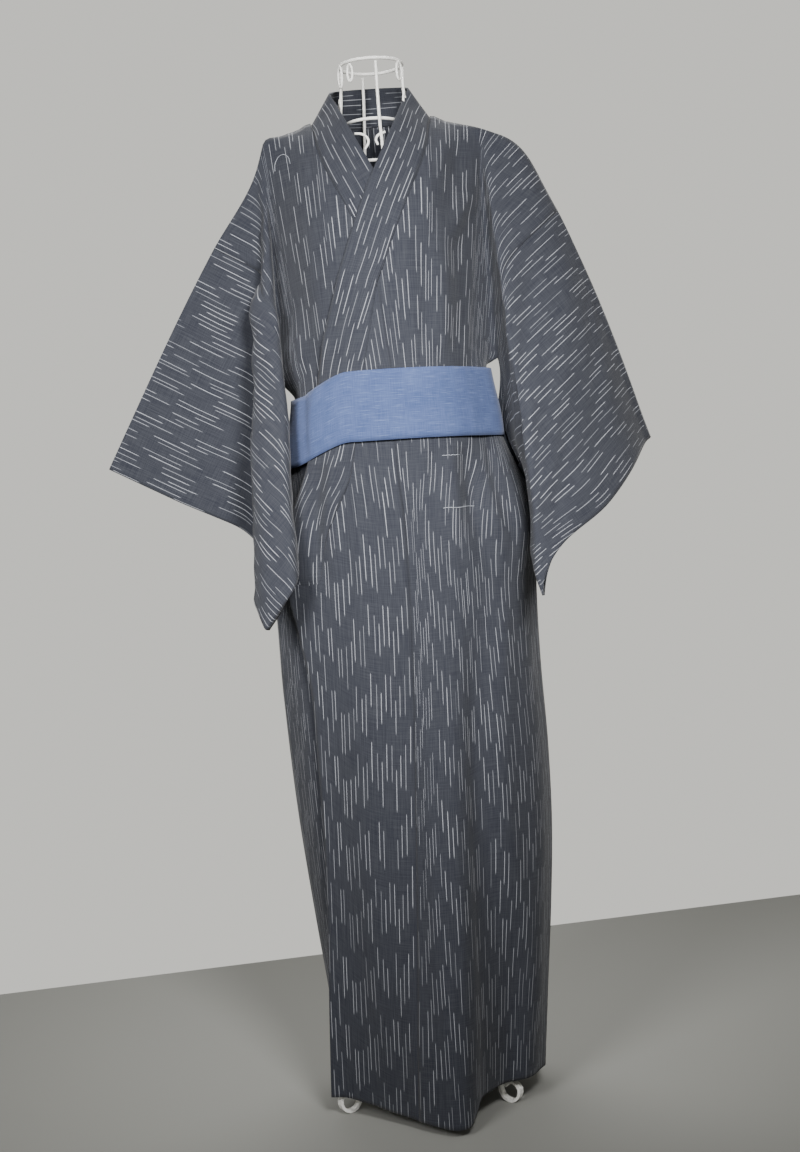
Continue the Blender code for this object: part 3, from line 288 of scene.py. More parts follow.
# Plain-woven slubby cotton, dyed slate blue: matte, with pale thick threads along it.
def beltMaterial(name):
    c = beltFinish
    made, tree = newMaterial(name)
    place = addNode(tree, "TexCoord").outputs["UV"]
    warp = streaks(tree, place, (900.0, 40.0))
    streak = addNode(tree, "Mix", {0: 0.4, 2: warp, 3: streaks(tree, place, (45.0, 700.0))})
    cloud = addNode(tree, "TexNoise", {"Vector": place, "Scale": 28.0, "Detail": 2.0})
    streak = addNode(tree, "Mix", {0: 0.25, 2: streak, 3: cloud})
    streak = addNode(tree, "MapRange", {"Value": streak, "From Min": 0.36, "From Max": 0.64})
    shades = {0: streak, 6: toLinear(c["weft"]), 7: toLinear(c["warp"])}
    ground = addNode(tree, "Mix", shades, data_type="RGBA")
    thick = {"Value": warp, "From Min": 0.60, "From Max": 0.72, "To Max": 0.4}
    thick = addNode(tree, "MapRange", thick)
    shades = {0: thick, 6: ground.outputs[2], 7: toLinear(c["fleck"])}
    colour = addNode(tree, "Mix", shades, data_type="RGBA")
    settings = {
        "Base Color": colour.outputs[2],
        "Roughness": 0.85,
        "Specular IOR Level": 0.28,
        "Sheen Weight": 0.12,
        "Sheen Roughness": 0.5,
    }
    closeMaterial(tree, weave(tree, place, c["thread"], 0.3, streak), 0.4, 0.0005, settings)
    return made


paintFinish = {"colour": "f3f2ed", "chipped": "dddbd4", "grain": 0.004}


# Steel wire dipped in white paint: satin, a little uneven where the paint ran and gathered.
def paintMaterial(name):
    c = paintFinish
    made, tree = newMaterial(name)
    place = addNode(tree, "TexCoord").outputs["Object"]
    grain = {"Vector": place, "Scale": 1.0 / c["grain"], "Detail": 3.0}
    runs = addNode(tree, "TexNoise", grain)
    worn = addNode(tree, "MapRange", {"Value": runs, "From Min": 0.45, "From Max": 0.75})
    shades = {0: worn, 6: toLinear(c["colour"]), 7: toLinear(c["chipped"])}
    colour = addNode(tree, "Mix", shades, data_type="RGBA").outputs[2]
    rough = addNode(tree, "MapRange", {"Value": runs, "To Min": 0.30, "To Max": 0.48})
    settings = {"Base Color": colour, "Roughness": rough, "Coat Weight": 0.15}
    closeMaterial(tree, runs, 0.25, 0.0003, settings)
    return made


threadFinish = {"colour": "a9acb2", "worn": "7f828a", "grain": 300.0}


# Undyed cotton yarn, fuzzy and matte, a little soiled along its length.
def threadMaterial(name):
    c = threadFinish
    made, tree = newMaterial(name)
    place = addNode(tree, "TexCoord").outputs["Object"]
    spots = addNode(tree, "TexNoise", {"Vector": place, "Scale": c["grain"], "Detail": 2.0})
    shades = {0: spots, 6: toLinear(c["worn"]), 7: toLinear(c["colour"])}
    colour = addNode(tree, "Mix", shades, data_type="RGBA").outputs[2]
    closeMaterial(tree, spots, 0.4, 0.0002, {"Base Color": colour, "Roughness": 0.9})
    return made


cotton = cottonMaterial("yarnDyedCotton")
blueCotton = beltMaterial("slubbedBlueCotton")
paint = paintMaterial("whitePaintedSteel")
yarn = threadMaterial("undyedCottonYarn")
print("materials made")


yukata = {
    # From the pole's foot to the middle of the whole object's base, which is the origin.
    "originShift": (0.0140, 0.0133, -0.0003),
    # Walls and gaps.
    "cloth": 0.0014,  # one layer of cotton, as built
    "gap": 0.0003,  # at seams, and between pieces that lie on each other
    "fold": 0.0011,  # half the space between the two layers where a panel is folded over
    "layer": 0.007,  # how far the left front stands off the right front below it
    # The cut of the robe.
    "bodyWidth": 0.335,  # centre back to sleeve seam
    "shoulderWidth": 0.16,  # the part of it that the form carries
    "neckHalf": 0.085,  # and the part of that which the neck's cut takes
    # Heights above the floor.
    "shoulderZ": 1.424,
    "shoulderX": 0.158,
    "beltTop": 1.078,
    "beltLow": 0.965,
    # The top of the shoulders: distance from the middle, height.
    "ridge": ((0.0, 1.457), (0.085, 1.4425), (0.158, 1.424), (0.30, 1.3885)),
    # How far the cloth lies in front of or behind the shoulder ridge, for each drop below it.
    "chest": (
        (0.0, 0.0), (0.015, 0.030), (0.045, 0.060), (0.09, 0.085), (0.15, 0.107), (0.25, 0.120),
        (0.38, 0.117), (0.60, 0.117),
    ),
    "back": (
        (0.0, 0.0), (0.015, 0.028), (0.045, 0.054), (0.09, 0.078), (0.15, 0.098), (0.25, 0.114),
        (0.38, 0.112), (0.60, 0.112),
    ),
    # Columns of a body panel: cloth across, from the middle.
    "neckColumns": (0.0, 0.015, 0.030, 0.0425, 0.055, 0.065, 0.075, 0.081, 0.085),
    "shoulderColumns": (0.110, 0.135, 0.160),
    "sideColumns": 9,
    # Rows of a body panel above the belt, as shares of its height.
    "rises": (0.06, 0.12, 0.19, 0.27, 0.37, 0.48, 0.59, 0.69, 0.78, 0.865, 0.94, 1.0),
    # The line below the shoulder point leans inwards, and away from the middle in front and
    # behind, by these parts of its drop.
    "edgeOut": 0.120,
    "edgeFront": 0.170,
    "edgeBack": 0.165,
    # Side of the wrapped waist, half way from the chest's edge to the side seam and at the seam:
    # out and forwards.
    "waistLeft": ((0.1400, 0.034), (0.1475, 0.004)),
    "waistRight": ((0.1330, 0.034), (0.1370, 0.004)),
    "flare": (1.10, 1.03),  # how much wider and deeper the waist is at the belt's low edge
    # How much of the way from there to the hip it has come at the high hip.
    "highHipLeft": 0.93,
    "highHipRight": 0.80,
    # The belt holds the cloth below the arm in, up to this share of the height above it.
    "tiedLeft": 0.19,
    "tiedRight": 0.27,
    "slant": 0.98,  # height for each length of the cloth that hangs below the arm
    # The hip swells out just below the belt at the left and carries the sleeve's corner, and at
    # the right it is the cloth above the belt that is bloused: from which height and how softly,
    # to which height and how softly, from which distance out and over how much of it, and size.
    "swellLeft": (0.74, 0.10, 0.985, 0.04, 0.11, 0.07, 0.013),
    "swellRight": (1.045, 0.04, 1.17, 0.08, 0.09, 0.05, -0.012),
    "highHip": 0.86,
    "hip": 0.70,
    "knee": 0.44,
    "skirtRows": 7,
    "warpAtBelt": 0.36,  # place along the warp that the belt's top has in the pattern
    # Skirt panels. Share of the panel's width, then across and forwards at the hip, the knee and
    # the hem, and the hem's height.
    "frontLeft": (
        (0.00, 0.012, 0.131, 0.000, 0.150, -0.022, 0.171, 0.016),  # okumi seam
        (0.18, 0.040, 0.136, 0.032, 0.166, 0.030, 0.207, 0.012),  # prow
        (0.29, 0.070, 0.134, 0.066, 0.160, 0.056, 0.189, 0.015),  # fold
        (0.37, 0.085, 0.124, 0.078, 0.143, 0.064, 0.163, 0.036),  # tuck
        (0.58, 0.128, 0.105, 0.132, 0.116, 0.103, 0.108, 0.038),  # thigh
        (0.75, 0.168, 0.075, 0.175, 0.080, 0.140, 0.092, 0.040),  # foot
        (1.00, 0.198, 0.018, 0.203, 0.020, 0.168, 0.045, 0.040),  # side seam
    ),
    "frontRight": (
        (0.00, 0.000, 0.121, 0.003, 0.135, 0.003, 0.150, 0.050),  # okumi seam
        (0.25, -0.050, 0.116, -0.050, 0.125, -0.045, 0.127, 0.050),  # inner
        (0.50, -0.100, 0.096, -0.098, 0.100, -0.088, 0.098, 0.050),  # thigh
        (0.74, -0.150, 0.066, -0.142, 0.066, -0.120, 0.068, 0.050),  # front
        (1.00, -0.185, 0.018, -0.172, 0.015, -0.130, 0.018, 0.045),  # side seam
    ),
    "backLeft": (
        (0.00, 0.000, -0.148, 0.000, -0.163, 0.000, -0.180, 0.045),  # centre seam
        (0.30, 0.085, -0.140, 0.090, -0.152, 0.075, -0.166, 0.045),  # middle
        (0.60, 0.155, -0.100, 0.165, -0.108, 0.138, -0.112, 0.044),  # hip
        (0.83, 0.200, -0.035, 0.206, -0.032, 0.172, -0.018, 0.042),  # flank
        (1.00, 0.198, 0.018, 0.203, 0.020, 0.168, 0.045, 0.040),  # side seam
    ),
    "backRight": (
        (0.00, 0.000, -0.148, 0.000, -0.163, 0.000, -0.180, 0.045),  # centre seam
        (0.30, -0.085, -0.140, -0.086, -0.150, -0.070, -0.162, 0.045),  # middle
        (0.60, -0.150, -0.098, -0.145, -0.102, -0.116, -0.108, 0.045),  # hip
        (0.83, -0.188, -0.035, -0.177, -0.034, -0.136, -0.030, 0.045),  # flank
        (1.00, -0.185, 0.018, -0.172, 0.015, -0.130, 0.018, 0.045),  # side seam
    ),
}

# Body panels: node, side, whether it is a front, and its rows.
panels = (
    ("front_left", 1.0, True, yukata["frontLeft"]),
    ("front_right", -1.0, True, yukata["frontRight"]),
    ("back_left", 1.0, False, yukata["backLeft"]),
    ("back_right", -1.0, False, yukata["backRight"]),
)


# What a table has for a side: 1 is the wearer's left, and -1 the right.
def bySide(table, name, side):
    return table[name + ("Left" if side > 0 else "Right")]


def smooth(x):
    x = np.clip(x, 0.0, 1.0)
    return x * x * (3.0 - 2.0 * x)


# Slopes at the rows of a table, from the rises on both sides of each.
def slopesOf(rise, step):
    slope = np.concatenate([rise[:1], rise])
    before, after = step[:-1], step[1:]
    slope[1:-1] = (rise[:-1] * after + rise[1:] * before) / (before + after)
    slope[-1] = rise[-1]
    return slope


# Cubic from one value to the next with their slopes, at a share s of the distance h.
def cubic(first, last, slopeFirst, slopeLast, h, s):
    return (
        first * (1 + 2 * s) * (1 - s) ** 2
        + last * s * s * (3 - 2 * s)
        + slopeFirst * h * s * (1 - s) ** 2
        - slopeLast * h * s * s * (1 - s)
    )


# Reads a smooth curve through the rows of a table, whose first column is the key.
def curve(table, x):
    rows = np.array(table, float)
    keys, values = rows[:, 0], rows[:, 1:]
    x = np.clip(np.asarray(x, float), keys[0], keys[-1])
    step = np.diff(keys)
    rise = np.diff(values, axis=0) / step[:, None]
    slope = slopesOf(rise, step[:, None])
    limit = 3.0 * np.minimum(np.abs(rise[:-1]), np.abs(rise[1:]))
    slope[1:-1] = np.clip(slope[1:-1], -limit, limit) * (rise[:-1] * rise[1:] > 0)
    i = np.clip(np.searchsorted(keys, x, side="right") - 1, 0, len(keys) - 2)
    h = step[i]
    s = (x - keys[i]) / h
    return cubic(values[i], values[i + 1], slope[i], slope[i + 1], h[..., None], s[..., None])


# A smooth line down through points given at several heights, for each point of an array.
def between(levels, heights, z):
    order = np.argsort([np.mean(h) for h in heights])
    z = np.asarray(z, float)
    keys = np.stack([np.broadcast_to(heights[k], z.shape) for k in order])
    values = np.stack([np.broadcast_to(levels[k], z.shape + (2,)) for k in order])
    step = np.diff(keys, axis=0)
    slope = slopesOf(np.diff(values, axis=0) / step[..., None], step[..., None])
    slope[-2:] = 0.0
    out = values[0].copy()
    for k in range(len(keys) - 1):
        inside = (z >= keys[k]) & (z <= keys[k + 1])
        s = np.clip((z - keys[k]) / step[k], 0.0, 1.0)[..., None]
        here = cubic(values[k], values[k + 1], slope[k], slope[k + 1], step[k][..., None], s)
        out = np.where(inside[..., None], here, out)
    return np.where((z > keys[-1])[..., None], values[-1], out)


# Unit normals of a grid of points, from its neighbours along both ways.
def normalsOf(points):
    n = np.cross(np.gradient(points, axis=0), np.gradient(points, axis=1))
    return n / np.maximum(np.linalg.norm(n, axis=-1, keepdims=True), 1e-12)


# Lengths of the steps between the neighbours of a grid along one way.
def gapsOf(points, axis):
    return np.linalg.norm(np.diff(points, axis=axis), axis=-1)


# A grid of points with its place in the flat cloth: across the warp, and along it.
def withCloth(points, across, run):
    flat = [np.broadcast_to(part, points.shape[:2])[..., None] for part in (across, run)]
    return np.concatenate([points, *flat], axis=-1)


def ridge(x):
    return curve(yukata["ridge"], np.abs(x))[..., 0]


# How far the front or the back lies from the middle, for a point this far across and this high.
def depthAt(name, edge, x, z):
    drop = np.maximum(yukata["shoulderZ"] - z, 0.0)
    share = np.clip(np.abs(x) / (yukata["shoulderX"] - yukata["edgeOut"] * drop), 0.0, 1.0)
    roundOff = 1.0 - share**2.6
    depth = curve(yukata[name], np.maximum(ridge(x) - z, 0.0))[..., 0]
    return yukata["fold"] + roundOff * depth + (1.0 - roundOff) * yukata[edge] * drop


# Place of the front along Y. The left front lies outside the right one.
def chest(x, z, side):
    out = depthAt("chest", "edgeFront", x, z)
    if side > 0:
        below = np.maximum(ridge(x) - z, 0.0)
        out = out + yukata["layer"] * smooth(below / 0.08) * (1.0 - smooth((x - 0.10) / 0.03))
    return -out


sleeve = {
    "start": yukata["bodyWidth"] - yukata["shoulderWidth"],  # shoulder point to sleeve seam
    "sleeveWidth": 0.355,
    "sleeveDrop": 0.49,
    "wristOpening": 0.26,
    "armhole": 0.288,  # length of the sleeve seam on each side
    # Folded top edge from the shoulder to the wrist: distance along it, out, height.
    "topFoldLeft": (
        (0.0, 0.158, 1.424), (0.05, 0.203, 1.405), (0.155, 0.259, 1.317), (0.255, 0.300, 1.224),
        (0.40, 0.350, 1.087), (0.53, 0.391, 0.958),
    ),
    "topFoldRight": (
        (0.0, 0.158, 1.424), (0.05, 0.174, 1.378), (0.18, 0.245, 1.269), (0.30, 0.306, 1.167),
        (0.41, 0.360, 1.070), (0.53, 0.420, 0.960),
    ),
    # Folds that fan out from the shoulder point. Angle in the flat cloth from the folded top edge,
    # and the direction in which that line hangs: part outwards, part forwards, the rest down.
    "fanFrontLeft": (
        (0, 0.440, -0.130), (14, 0.345, 0.050), (28, 0.190, 0.185), (36, 0.110, 0.232),
        (43, 0.063, 0.243), (47, 0.056, 0.215), (51, 0.056, 0.150), (55, 0.036, 0.068),
        (60, 0.014, 0.012), (65, -0.012, 0.020), (71, -0.042, 0.058), (80, -0.085, 0.110),
        (90, -0.120, 0.170),
    ),
    "fanBackLeft": (
        (0, 0.440, -0.130), (12, 0.300, -0.190), (24, 0.160, -0.220), (33, 0.095, -0.235),
        (42, 0.045, -0.190), (52, 0.028, -0.080), (60, 0.014, 0.004), (65, -0.012, -0.012),
        (71, -0.042, -0.050), (80, -0.085, -0.100), (90, -0.120, -0.165),
    ),
    "fanFrontRight": (
        (0, 0.493, 0.000), (12, 0.300, -0.020), (22, 0.122, -0.040), (27, 0.080, -0.028),
        (30, 0.058, 0.010), (33, 0.072, 0.078), (38, 0.095, 0.158), (43, 0.046, 0.208),
        (47, -0.012, 0.222), (51, -0.026, 0.165), (56, -0.006, 0.052), (60, 0.000, 0.018),
        (65, -0.017, 0.017), (71, -0.044, 0.056), (80, -0.085, 0.110), (90, -0.120, 0.170),
    ),
    "fanBackRight": (
        (0, 0.493, 0.000), (12, 0.310, -0.050), (24, 0.140, -0.110), (33, 0.080, -0.180),
        (42, 0.010, -0.170), (52, 0.000, -0.066), (60, 0.000, -0.004), (65, -0.017, -0.012),
        (71, -0.044, -0.050), (80, -0.085, -0.100), (90, -0.120, -0.165),
    ),
    # The sleeve's back layer, nested in its front layer.
    "nestLeft": (
        (0, 0.440, -0.130), (14, 0.337, 0.038), (28, 0.178, 0.166), (36, 0.108, 0.211),
        (43, 0.082, 0.218), (47, 0.075, 0.196), (51, 0.073, 0.150), (55, 0.057, 0.076),
        (60, 0.036, 0.014),
    ),
    "nestRight": (
        (0, 0.493, 0.000), (12, 0.300, -0.034), (22, 0.116, -0.056), (27, 0.076, -0.018),
        (32, 0.068, 0.066), (38, 0.062, 0.140), (43, 0.030, 0.185), (47, 0.002, 0.196),
        (51, -0.005, 0.155), (56, 0.012, 0.068), (60, 0.018, 0.016),
    ),
    # Angle of the pinch below the arm, where the front and the back of the robe meet.
    "pinch": 60.0,
    # Up to this distance from the shoulder point the cloth lies even between its two edges.
    "evenLeft": 0.085,
    "evenRight": 0.13,
    "topFoldTo": 38.0,  # angle to which the curve of the folded top edge is felt
    # Turn of the sleeve's free edge for each ten degrees past an angle: outwards, forwards.
    "tailStart": 63.5,
    "tailLeft": (0.045, -0.115),
    "tailRight": (0.004, -0.110),
    # The hips hold the sleeve's lower inner corner outwards: by how much, from which height
    # down, and over how much height that grows.
    "hipPushLeft": (0.045, 1.0, 0.13),
    "hipPushRight": (0.031, 1.05, 0.20),
    "sleeveColumns": (0, 0.012, 0.027, 0.055, 0.088, 0.122, 0.16, 0.2, 0.24, 0.28, 0.318, 0.355),
    "sleeveTailRows": (0.306, 0.330, 0.358, 0.388, 0.420, 0.450, 0.480, 0.490),
}


# Hangs flat cloth from the shoulder point: along its folded top edge, and down from it.
def fan(side, front, along, down, nest=False):
    table = bySide(sleeve, "nest" if nest else "fanFront" if front else "fanBack", side)
    reach = np.hypot(along, down)
    angle = np.degrees(np.arctan2(down, along))
    onSleeve = along > sleeve["start"]
    way = curve(table, np.where(onSleeve, np.minimum(angle, sleeve["pinch"]), angle))
    edgeDepth = yukata["edgeFront"] if front else -yukata["edgeBack"]
    ends = np.array([table[0][1:], (-yukata["edgeOut"], edgeDepth)])
    near = (1.0 - smooth(reach / bySide(sleeve, "even", side)))[..., None]
    way = way * (1 - near) + (ends[0] + (ends[1] - ends[0]) * (angle / 90.0)[..., None]) * near
    turn = np.where(onSleeve, np.maximum(angle - sleeve["tailStart"], 0.0) / 10.0, 0.0)
    tail = bySide(sleeve, "tail", side)
    out = way[..., 0] + tail[0] * turn
    if side < 0 and front:
        # the flap's fold hangs plumb, so it leans less the further down it is
        flap = smooth((angle - 30.0) / 4.0) * smooth((43.5 - angle) / 4.5) * onSleeve
        out = out + flap * (0.0375 + 0.025 / np.maximum(reach, 0.17) - 0.095)
    ahead = way[..., 1] + tail[1] * turn
    fall = np.sqrt(np.maximum(1.0 - out**2 - ahead**2, 0.0))
    first = table[0]
    straight = (first[1], math.sqrt(1.0 - first[1] ** 2 - first[2] ** 2))
    edge = curve(bySide(sleeve, "topFold", side), along)
    fade = 1.0 - smooth(angle / sleeve["topFoldTo"])
    topX, topZ = yukata["shoulderX"], yukata["shoulderZ"]
    x = topX + reach * out + fade * (edge[..., 0] - topX - straight[0] * along)
    z = topZ - reach * fall + fade * (edge[..., 1] - topZ + straight[1] * along)
    push, top, over = bySide(sleeve, "hipPush", side)
    held = push * smooth((top - z) / over)
    x = x + np.where(onSleeve, held * smooth((angle - 50.0) / 10.0), 0.0)
    return np.stack([side * x, -reach * ahead, z], axis=-1)


# A hanging layer, moved clear of the layer on the other side of the folded top edge, and the
# normals of its surface.
def layer(side, front, along, down):
    step, least = 0.002, 1e-6
    inner, above = np.maximum(along - step, least), np.maximum(down - step, least)
    a = fan(side, front, along + step, down) - fan(side, front, inner, down)
    b = fan(side, front, along, down + step) - fan(side, front, along, above)
    n = np.cross(a, b) * side
    n = n / np.maximum(np.linalg.norm(n, axis=-1, keepdims=True), 1e-12)
    sign = -1.0 if front else 1.0
    angle = np.degrees(np.arctan2(down, along))
    turn = smooth((angle - sleeve["topFoldTo"]) / 12.0)[..., None]
    pinched = np.exp(-(((angle - sleeve["pinch"]) / 9.0) ** 2))
    pinch = 1.0 + 1.6 * pinched * smooth(np.hypot(along, down) / 0.06)
    push = sign * (n * (1 - turn) + np.array([0.0, 1.0, 0.0]) * turn)
    return fan(side, front, along, down) + yukata["fold"] * pinch[..., None] * push, n


# Height at which the belt gathers a body panel.
def tie(side, width):
    droop = belt["beltDroop"] if side < 0 else 0.0
    return yukata["beltTop"] - droop * smooth((width - 0.10) / 0.20)


# Body panel above the belt: width is cloth across, rise is 0 at the belt and 1 at the top.
def upper(side, front, width, rise):
    width, rise = np.broadcast_arrays(np.asarray(width, float), np.asarray(rise, float))
    low = tie(side, width)
    shoulder, neckHalf = yukata["shoulderWidth"], yukata["neckHalf"]
    inner = np.minimum(width, shoulder)
    edgeLow = yukata["shoulderX"] - yukata["edgeOut"] * (yukata["shoulderZ"] - low)
    across = inner / shoulder
    topX = neckHalf + (yukata["shoulderX"] - neckHalf) * (inner - neckHalf) / (shoulder - neckHalf)
    topZ = ridge(topX)
    atNeck = inner < neckHalf
    if front:
        neck = curve([row[:3] for row in band["neckFront"]], inner)
        topZ = np.where(atNeck, neck[..., 1], topZ)
        xLow = band["seamLow"] + (edgeLow - band["seamLow"]) * across
    else:
        neck = curve([row[:4] for row in band["neckBack"]], inner)
        topZ = np.where(atNeck, neck[..., 2], topZ)
        xLow = edgeLow * across
    topX = np.where(atNeck, neck[..., 0], topX)
    x = xLow + (topX - xLow) * rise
    z = low + (topZ - low) * rise
    if front:
        y = chest(x, z, side)
    else:
        y = depthAt("back", "edgeBack", x, z)
        begin = 0.75 + 0.22 * smooth((inner - 0.05) / 0.035)
        lift = smooth((rise - begin) / (1.0 - begin)) * atNeck
        y = y + lift * (np.maximum(-neck[..., 1], yukata["fold"]) - y)
    chestPart = np.stack([side * x, y, z], axis=-1)

    along = np.maximum(width - shoulder, 0.0)
    share = along / (yukata["bodyWidth"] - shoulder)
    dropLow = yukata["shoulderZ"] - low
    longest = dropLow / 0.99 + (sleeve["armhole"] - dropLow / 0.99) * share
    down = (1.0 - rise) * dropLow / yukata["slant"]
    down = np.maximum(np.minimum(down, longest), 1e-6)
    hung, _ = layer(side, front, np.maximum(along, 1e-6), down)
    rows = bySide(yukata, "waist", side)
    edgeY = yukata["fold"] + (yukata["edgeFront"] if front else yukata["edgeBack"]) * dropLow
    first = np.stack([edgeLow, edgeY], axis=-1)
    middle, last = np.array(rows[0]), np.array(rows[1]) * (1.0, 1.0 if front else -1.0)
    s = share[..., None]
    waist = first * (1 - s) * (1 - 2 * s) + middle * 4 * s * (1 - s) + last * s * (2 * s - 1)
    sign = -1.0 if front else 1.0
    tied = np.stack([side * waist[..., 0], sign * waist[..., 1], low], axis=-1)
    hold = (1.0 - smooth(rise / bySide(yukata, "tied", side)))[..., None]
    hung = hung * (1 - hold) + tied * hold
    return np.where((width > shoulder)[..., None], hung, chestPart)


# Places across and backwards from pairs of columns of a panel's rows, which start with the share.
def placesIn(rows, share, first, count):
    table = np.array(rows)
    pairs = [[0, k, k + 1] for k in range(first, first + 2 * count, 2)]
    return [curve(table[:, pair], share) * (1.0, -1.0) for pair in pairs]


# Height of a panel's hem, the last column of its rows.
def hemHeight(rows, share):
    return curve(np.array(rows)[:, [0, -1]], share)[..., 0]


# Body panel below the belt's top, through its rows at the hip, the knee and the hem.
def skirt(side, front, share, z, rows):
    width = share * yukata["bodyWidth"]
    top = upper(side, front, width, 0.0)[..., :2]
    waist = top * yukata["flare"]
    hip, knee, hem = placesIn(rows, share, 1, 3)
    flare = waist + (hip - waist) * bySide(yukata, "highHip", side)
    tied = tie(side, width)
    heights = [tied, tied - (yukata["beltTop"] - yukata["beltLow"]), yukata["highHip"]]
    heights += [yukata["hip"], yukata["knee"], hemHeight(rows, share)]
    xy = between([top, waist, flare, hip, knee, hem], heights, z)
    return np.concatenate([xy, z[..., None]], axis=-1)


# Heights of a side's rows at its overlap seam, which the panels beside it share.
def seamLevels(side):
    low = hemHeight(bySide(yukata, "front", side), np.array([0.0]))[0]
    below = np.linspace(low, band["collarEnd"] - band["endGap"], yukata["skirtRows"])
    return np.concatenate([below, band["collarLevels"]])


# Draws part of a grid tight between the points around it.
def relax(points, free, turns):
    for _ in range(turns):
        wide = np.pad(points, ((1, 1), (1, 1), (0, 0)), mode="edge")
        mean = (wide[:-2, 1:-1] + wide[2:, 1:-1] + wide[1:-1, :-2] + wide[1:-1, 2:]) / 4
        points = points + 0.8 * free * (mean - points)
    return points


# Swells a side of the robe out between two heights, more and more away from the middle.
def swell(side, points):
    low, fadeLow, high, fadeHigh, start, over, size = bySide(yukata, "swell", side)
    z = points[..., 2]
    held = smooth((z - low) / fadeLow) * smooth((high - z) / fadeHigh)
    points[..., 0] += size * held * smooth((np.abs(points[..., 0]) - start) / over)
    return points


# The left front's edge is drawn further round the wearer's right hip below the belt.
def wrap(points):
    z = points[..., 2]
    held = smooth((z - 0.66) / 0.14) * smooth((0.948 - z) / 0.04)
    far = smooth((-0.05 - points[..., 0]) / 0.08)
    points[..., 0] -= 0.023 * held * far
    points[..., 1] += 0.014 * held * far
    return points


# Grid of points of a whole body panel, from the hem to the top edge.
def bodyPanel(side, front, rows, widths):
    levels = seamLevels(side)
    share = widths / yukata["bodyWidth"]
    low = hemHeight(rows, share)
    part = ((levels - levels[0]) / (levels[-1] - levels[0]))[:, None]
    z = low[None] + (tie(side, widths)[None] - low[None]) * part
    bottom = skirt(side, front, np.broadcast_to(share[None], z.shape), z, rows)
    rises = np.array(yukata["rises"])[:, None]
    top = upper(side, front, widths[None], rises)
    free = 0.35 * smooth((widths - yukata["shoulderWidth"]) / 0.04)
    free = free * (widths < yukata["bodyWidth"] - 0.001)
    free = free[None] * smooth(rises / 0.2) * (rises < 0.99)
    return np.concatenate([bottom, relax(top, free[..., None], 2 if side < 0 else 0)])


band = {
    "collarEnd": 0.77,
    "endGap": 0.02,  # from the last row of the skirt to the collar's end
    "okumiPoint": 1.190,  # height at which the overlap panel ends at the collar
    "patternShift": 0.0013,  # the overlap's lines lie this far off the front's at their seam
    # The overlap panel's two edges at the belt's top, and where they meet at its point.
    "edgeLow": -0.031,
    "seamLow": 0.005,
    "seamHigh": -0.006,
    # Neck edge of the fronts, where the collar is sewn on, and the collar's inner edge beside it:
    # cloth across, distance from the middle, height, then across, forwards and height.
    "neckFront": (
        (0.000, -0.006, 1.190, -0.0620, 0.110, 1.200),  # overlap point
        (0.015, 0.007, 1.220, -0.0485, 0.110, 1.236),  # ribs
        (0.030, 0.019, 1.250, -0.0350, 0.109, 1.273),  # middle
        (0.055, 0.048, 1.318, -0.0045, 0.0945, 1.347),  # breast
        (0.075, 0.078, 1.392, 0.0365, 0.052, 1.437),  # collar bone
        (0.085, 0.085, 1.4425, 0.0570, -0.004, 1.489),  # neck side
    ),
    # The same round the back of the neck.
    "neckBack": (
        (0.000, 0.000, -0.060, 1.4470, 0.000, -0.0545, 1.504),  # centre back
        (0.040, 0.042, -0.052, 1.4470, 0.030, -0.0470, 1.502),  # back
        (0.070, 0.074, -0.026, 1.4455, 0.0505, -0.0270, 1.496),  # back side
        (0.085, 0.085, 0.000, 1.4425, 0.0570, -0.0040, 1.489),  # neck side
    ),
    # The collar's inner edge between the belt and the overlap panel's point: height, across.
    "collarLow": ((1.078, -0.096), (1.13, -0.082), (1.190, -0.062)),
    "okumiLevels": (1.078, 1.106, 1.134, 1.158, 1.187),
    # Overlap panels with the collar's lower run. Share of the width from the front edge, across
    # at the belt's top and low edge, then across and forwards at the collar's end, hip, knee and
    # hem, and the hem's height. The rows run from the front edge, by two folds, to the seam.
    "okumiLeft": (
        (0.00, -0.096, -0.114, -0.148, 0.084, -0.143, 0.086, -0.135, 0.090, -0.148, 0.095, 0.030),
        (0.30, -0.066, -0.080, -0.107, 0.108, -0.105, 0.109, -0.100, 0.113, -0.111, 0.104, 0.028),
        (0.65, -0.030, -0.038, -0.052, 0.125, -0.050, 0.127, -0.052, 0.136, -0.063, 0.140, 0.020),
        (1.00, 0.005, 0.0055, 0.010, 0.129, 0.012, 0.131, 0.000, 0.150, -0.022, 0.171, 0.016),
    ),
    "okumiRight": (
        (0.00, 0.087, 0.092, 0.100, 0.090, 0.104, 0.090, 0.108, 0.098, 0.084, 0.106, 0.050),
        (0.30, 0.060, 0.065, 0.076, 0.104, 0.080, 0.104, 0.080, 0.116, 0.064, 0.123, 0.050),
        (0.65, 0.027, 0.031, 0.040, 0.116, 0.044, 0.117, 0.046, 0.128, 0.036, 0.146, 0.050),
        (1.00, -0.005, -0.0055, -0.002, 0.119, 0.000, 0.121, 0.003, 0.135, 0.003, 0.150, 0.050),
    ),
    # Share of the overlap that the collar takes below the belt: height, share.
    "collarShare": ((0.77, 0.335), (0.86, 0.39), (0.965, 0.54), (1.078, 0.643)),
    "collarLevels": (0.7706, 0.825, 0.880, 0.930, 0.970, 1.025, 1.078),
}


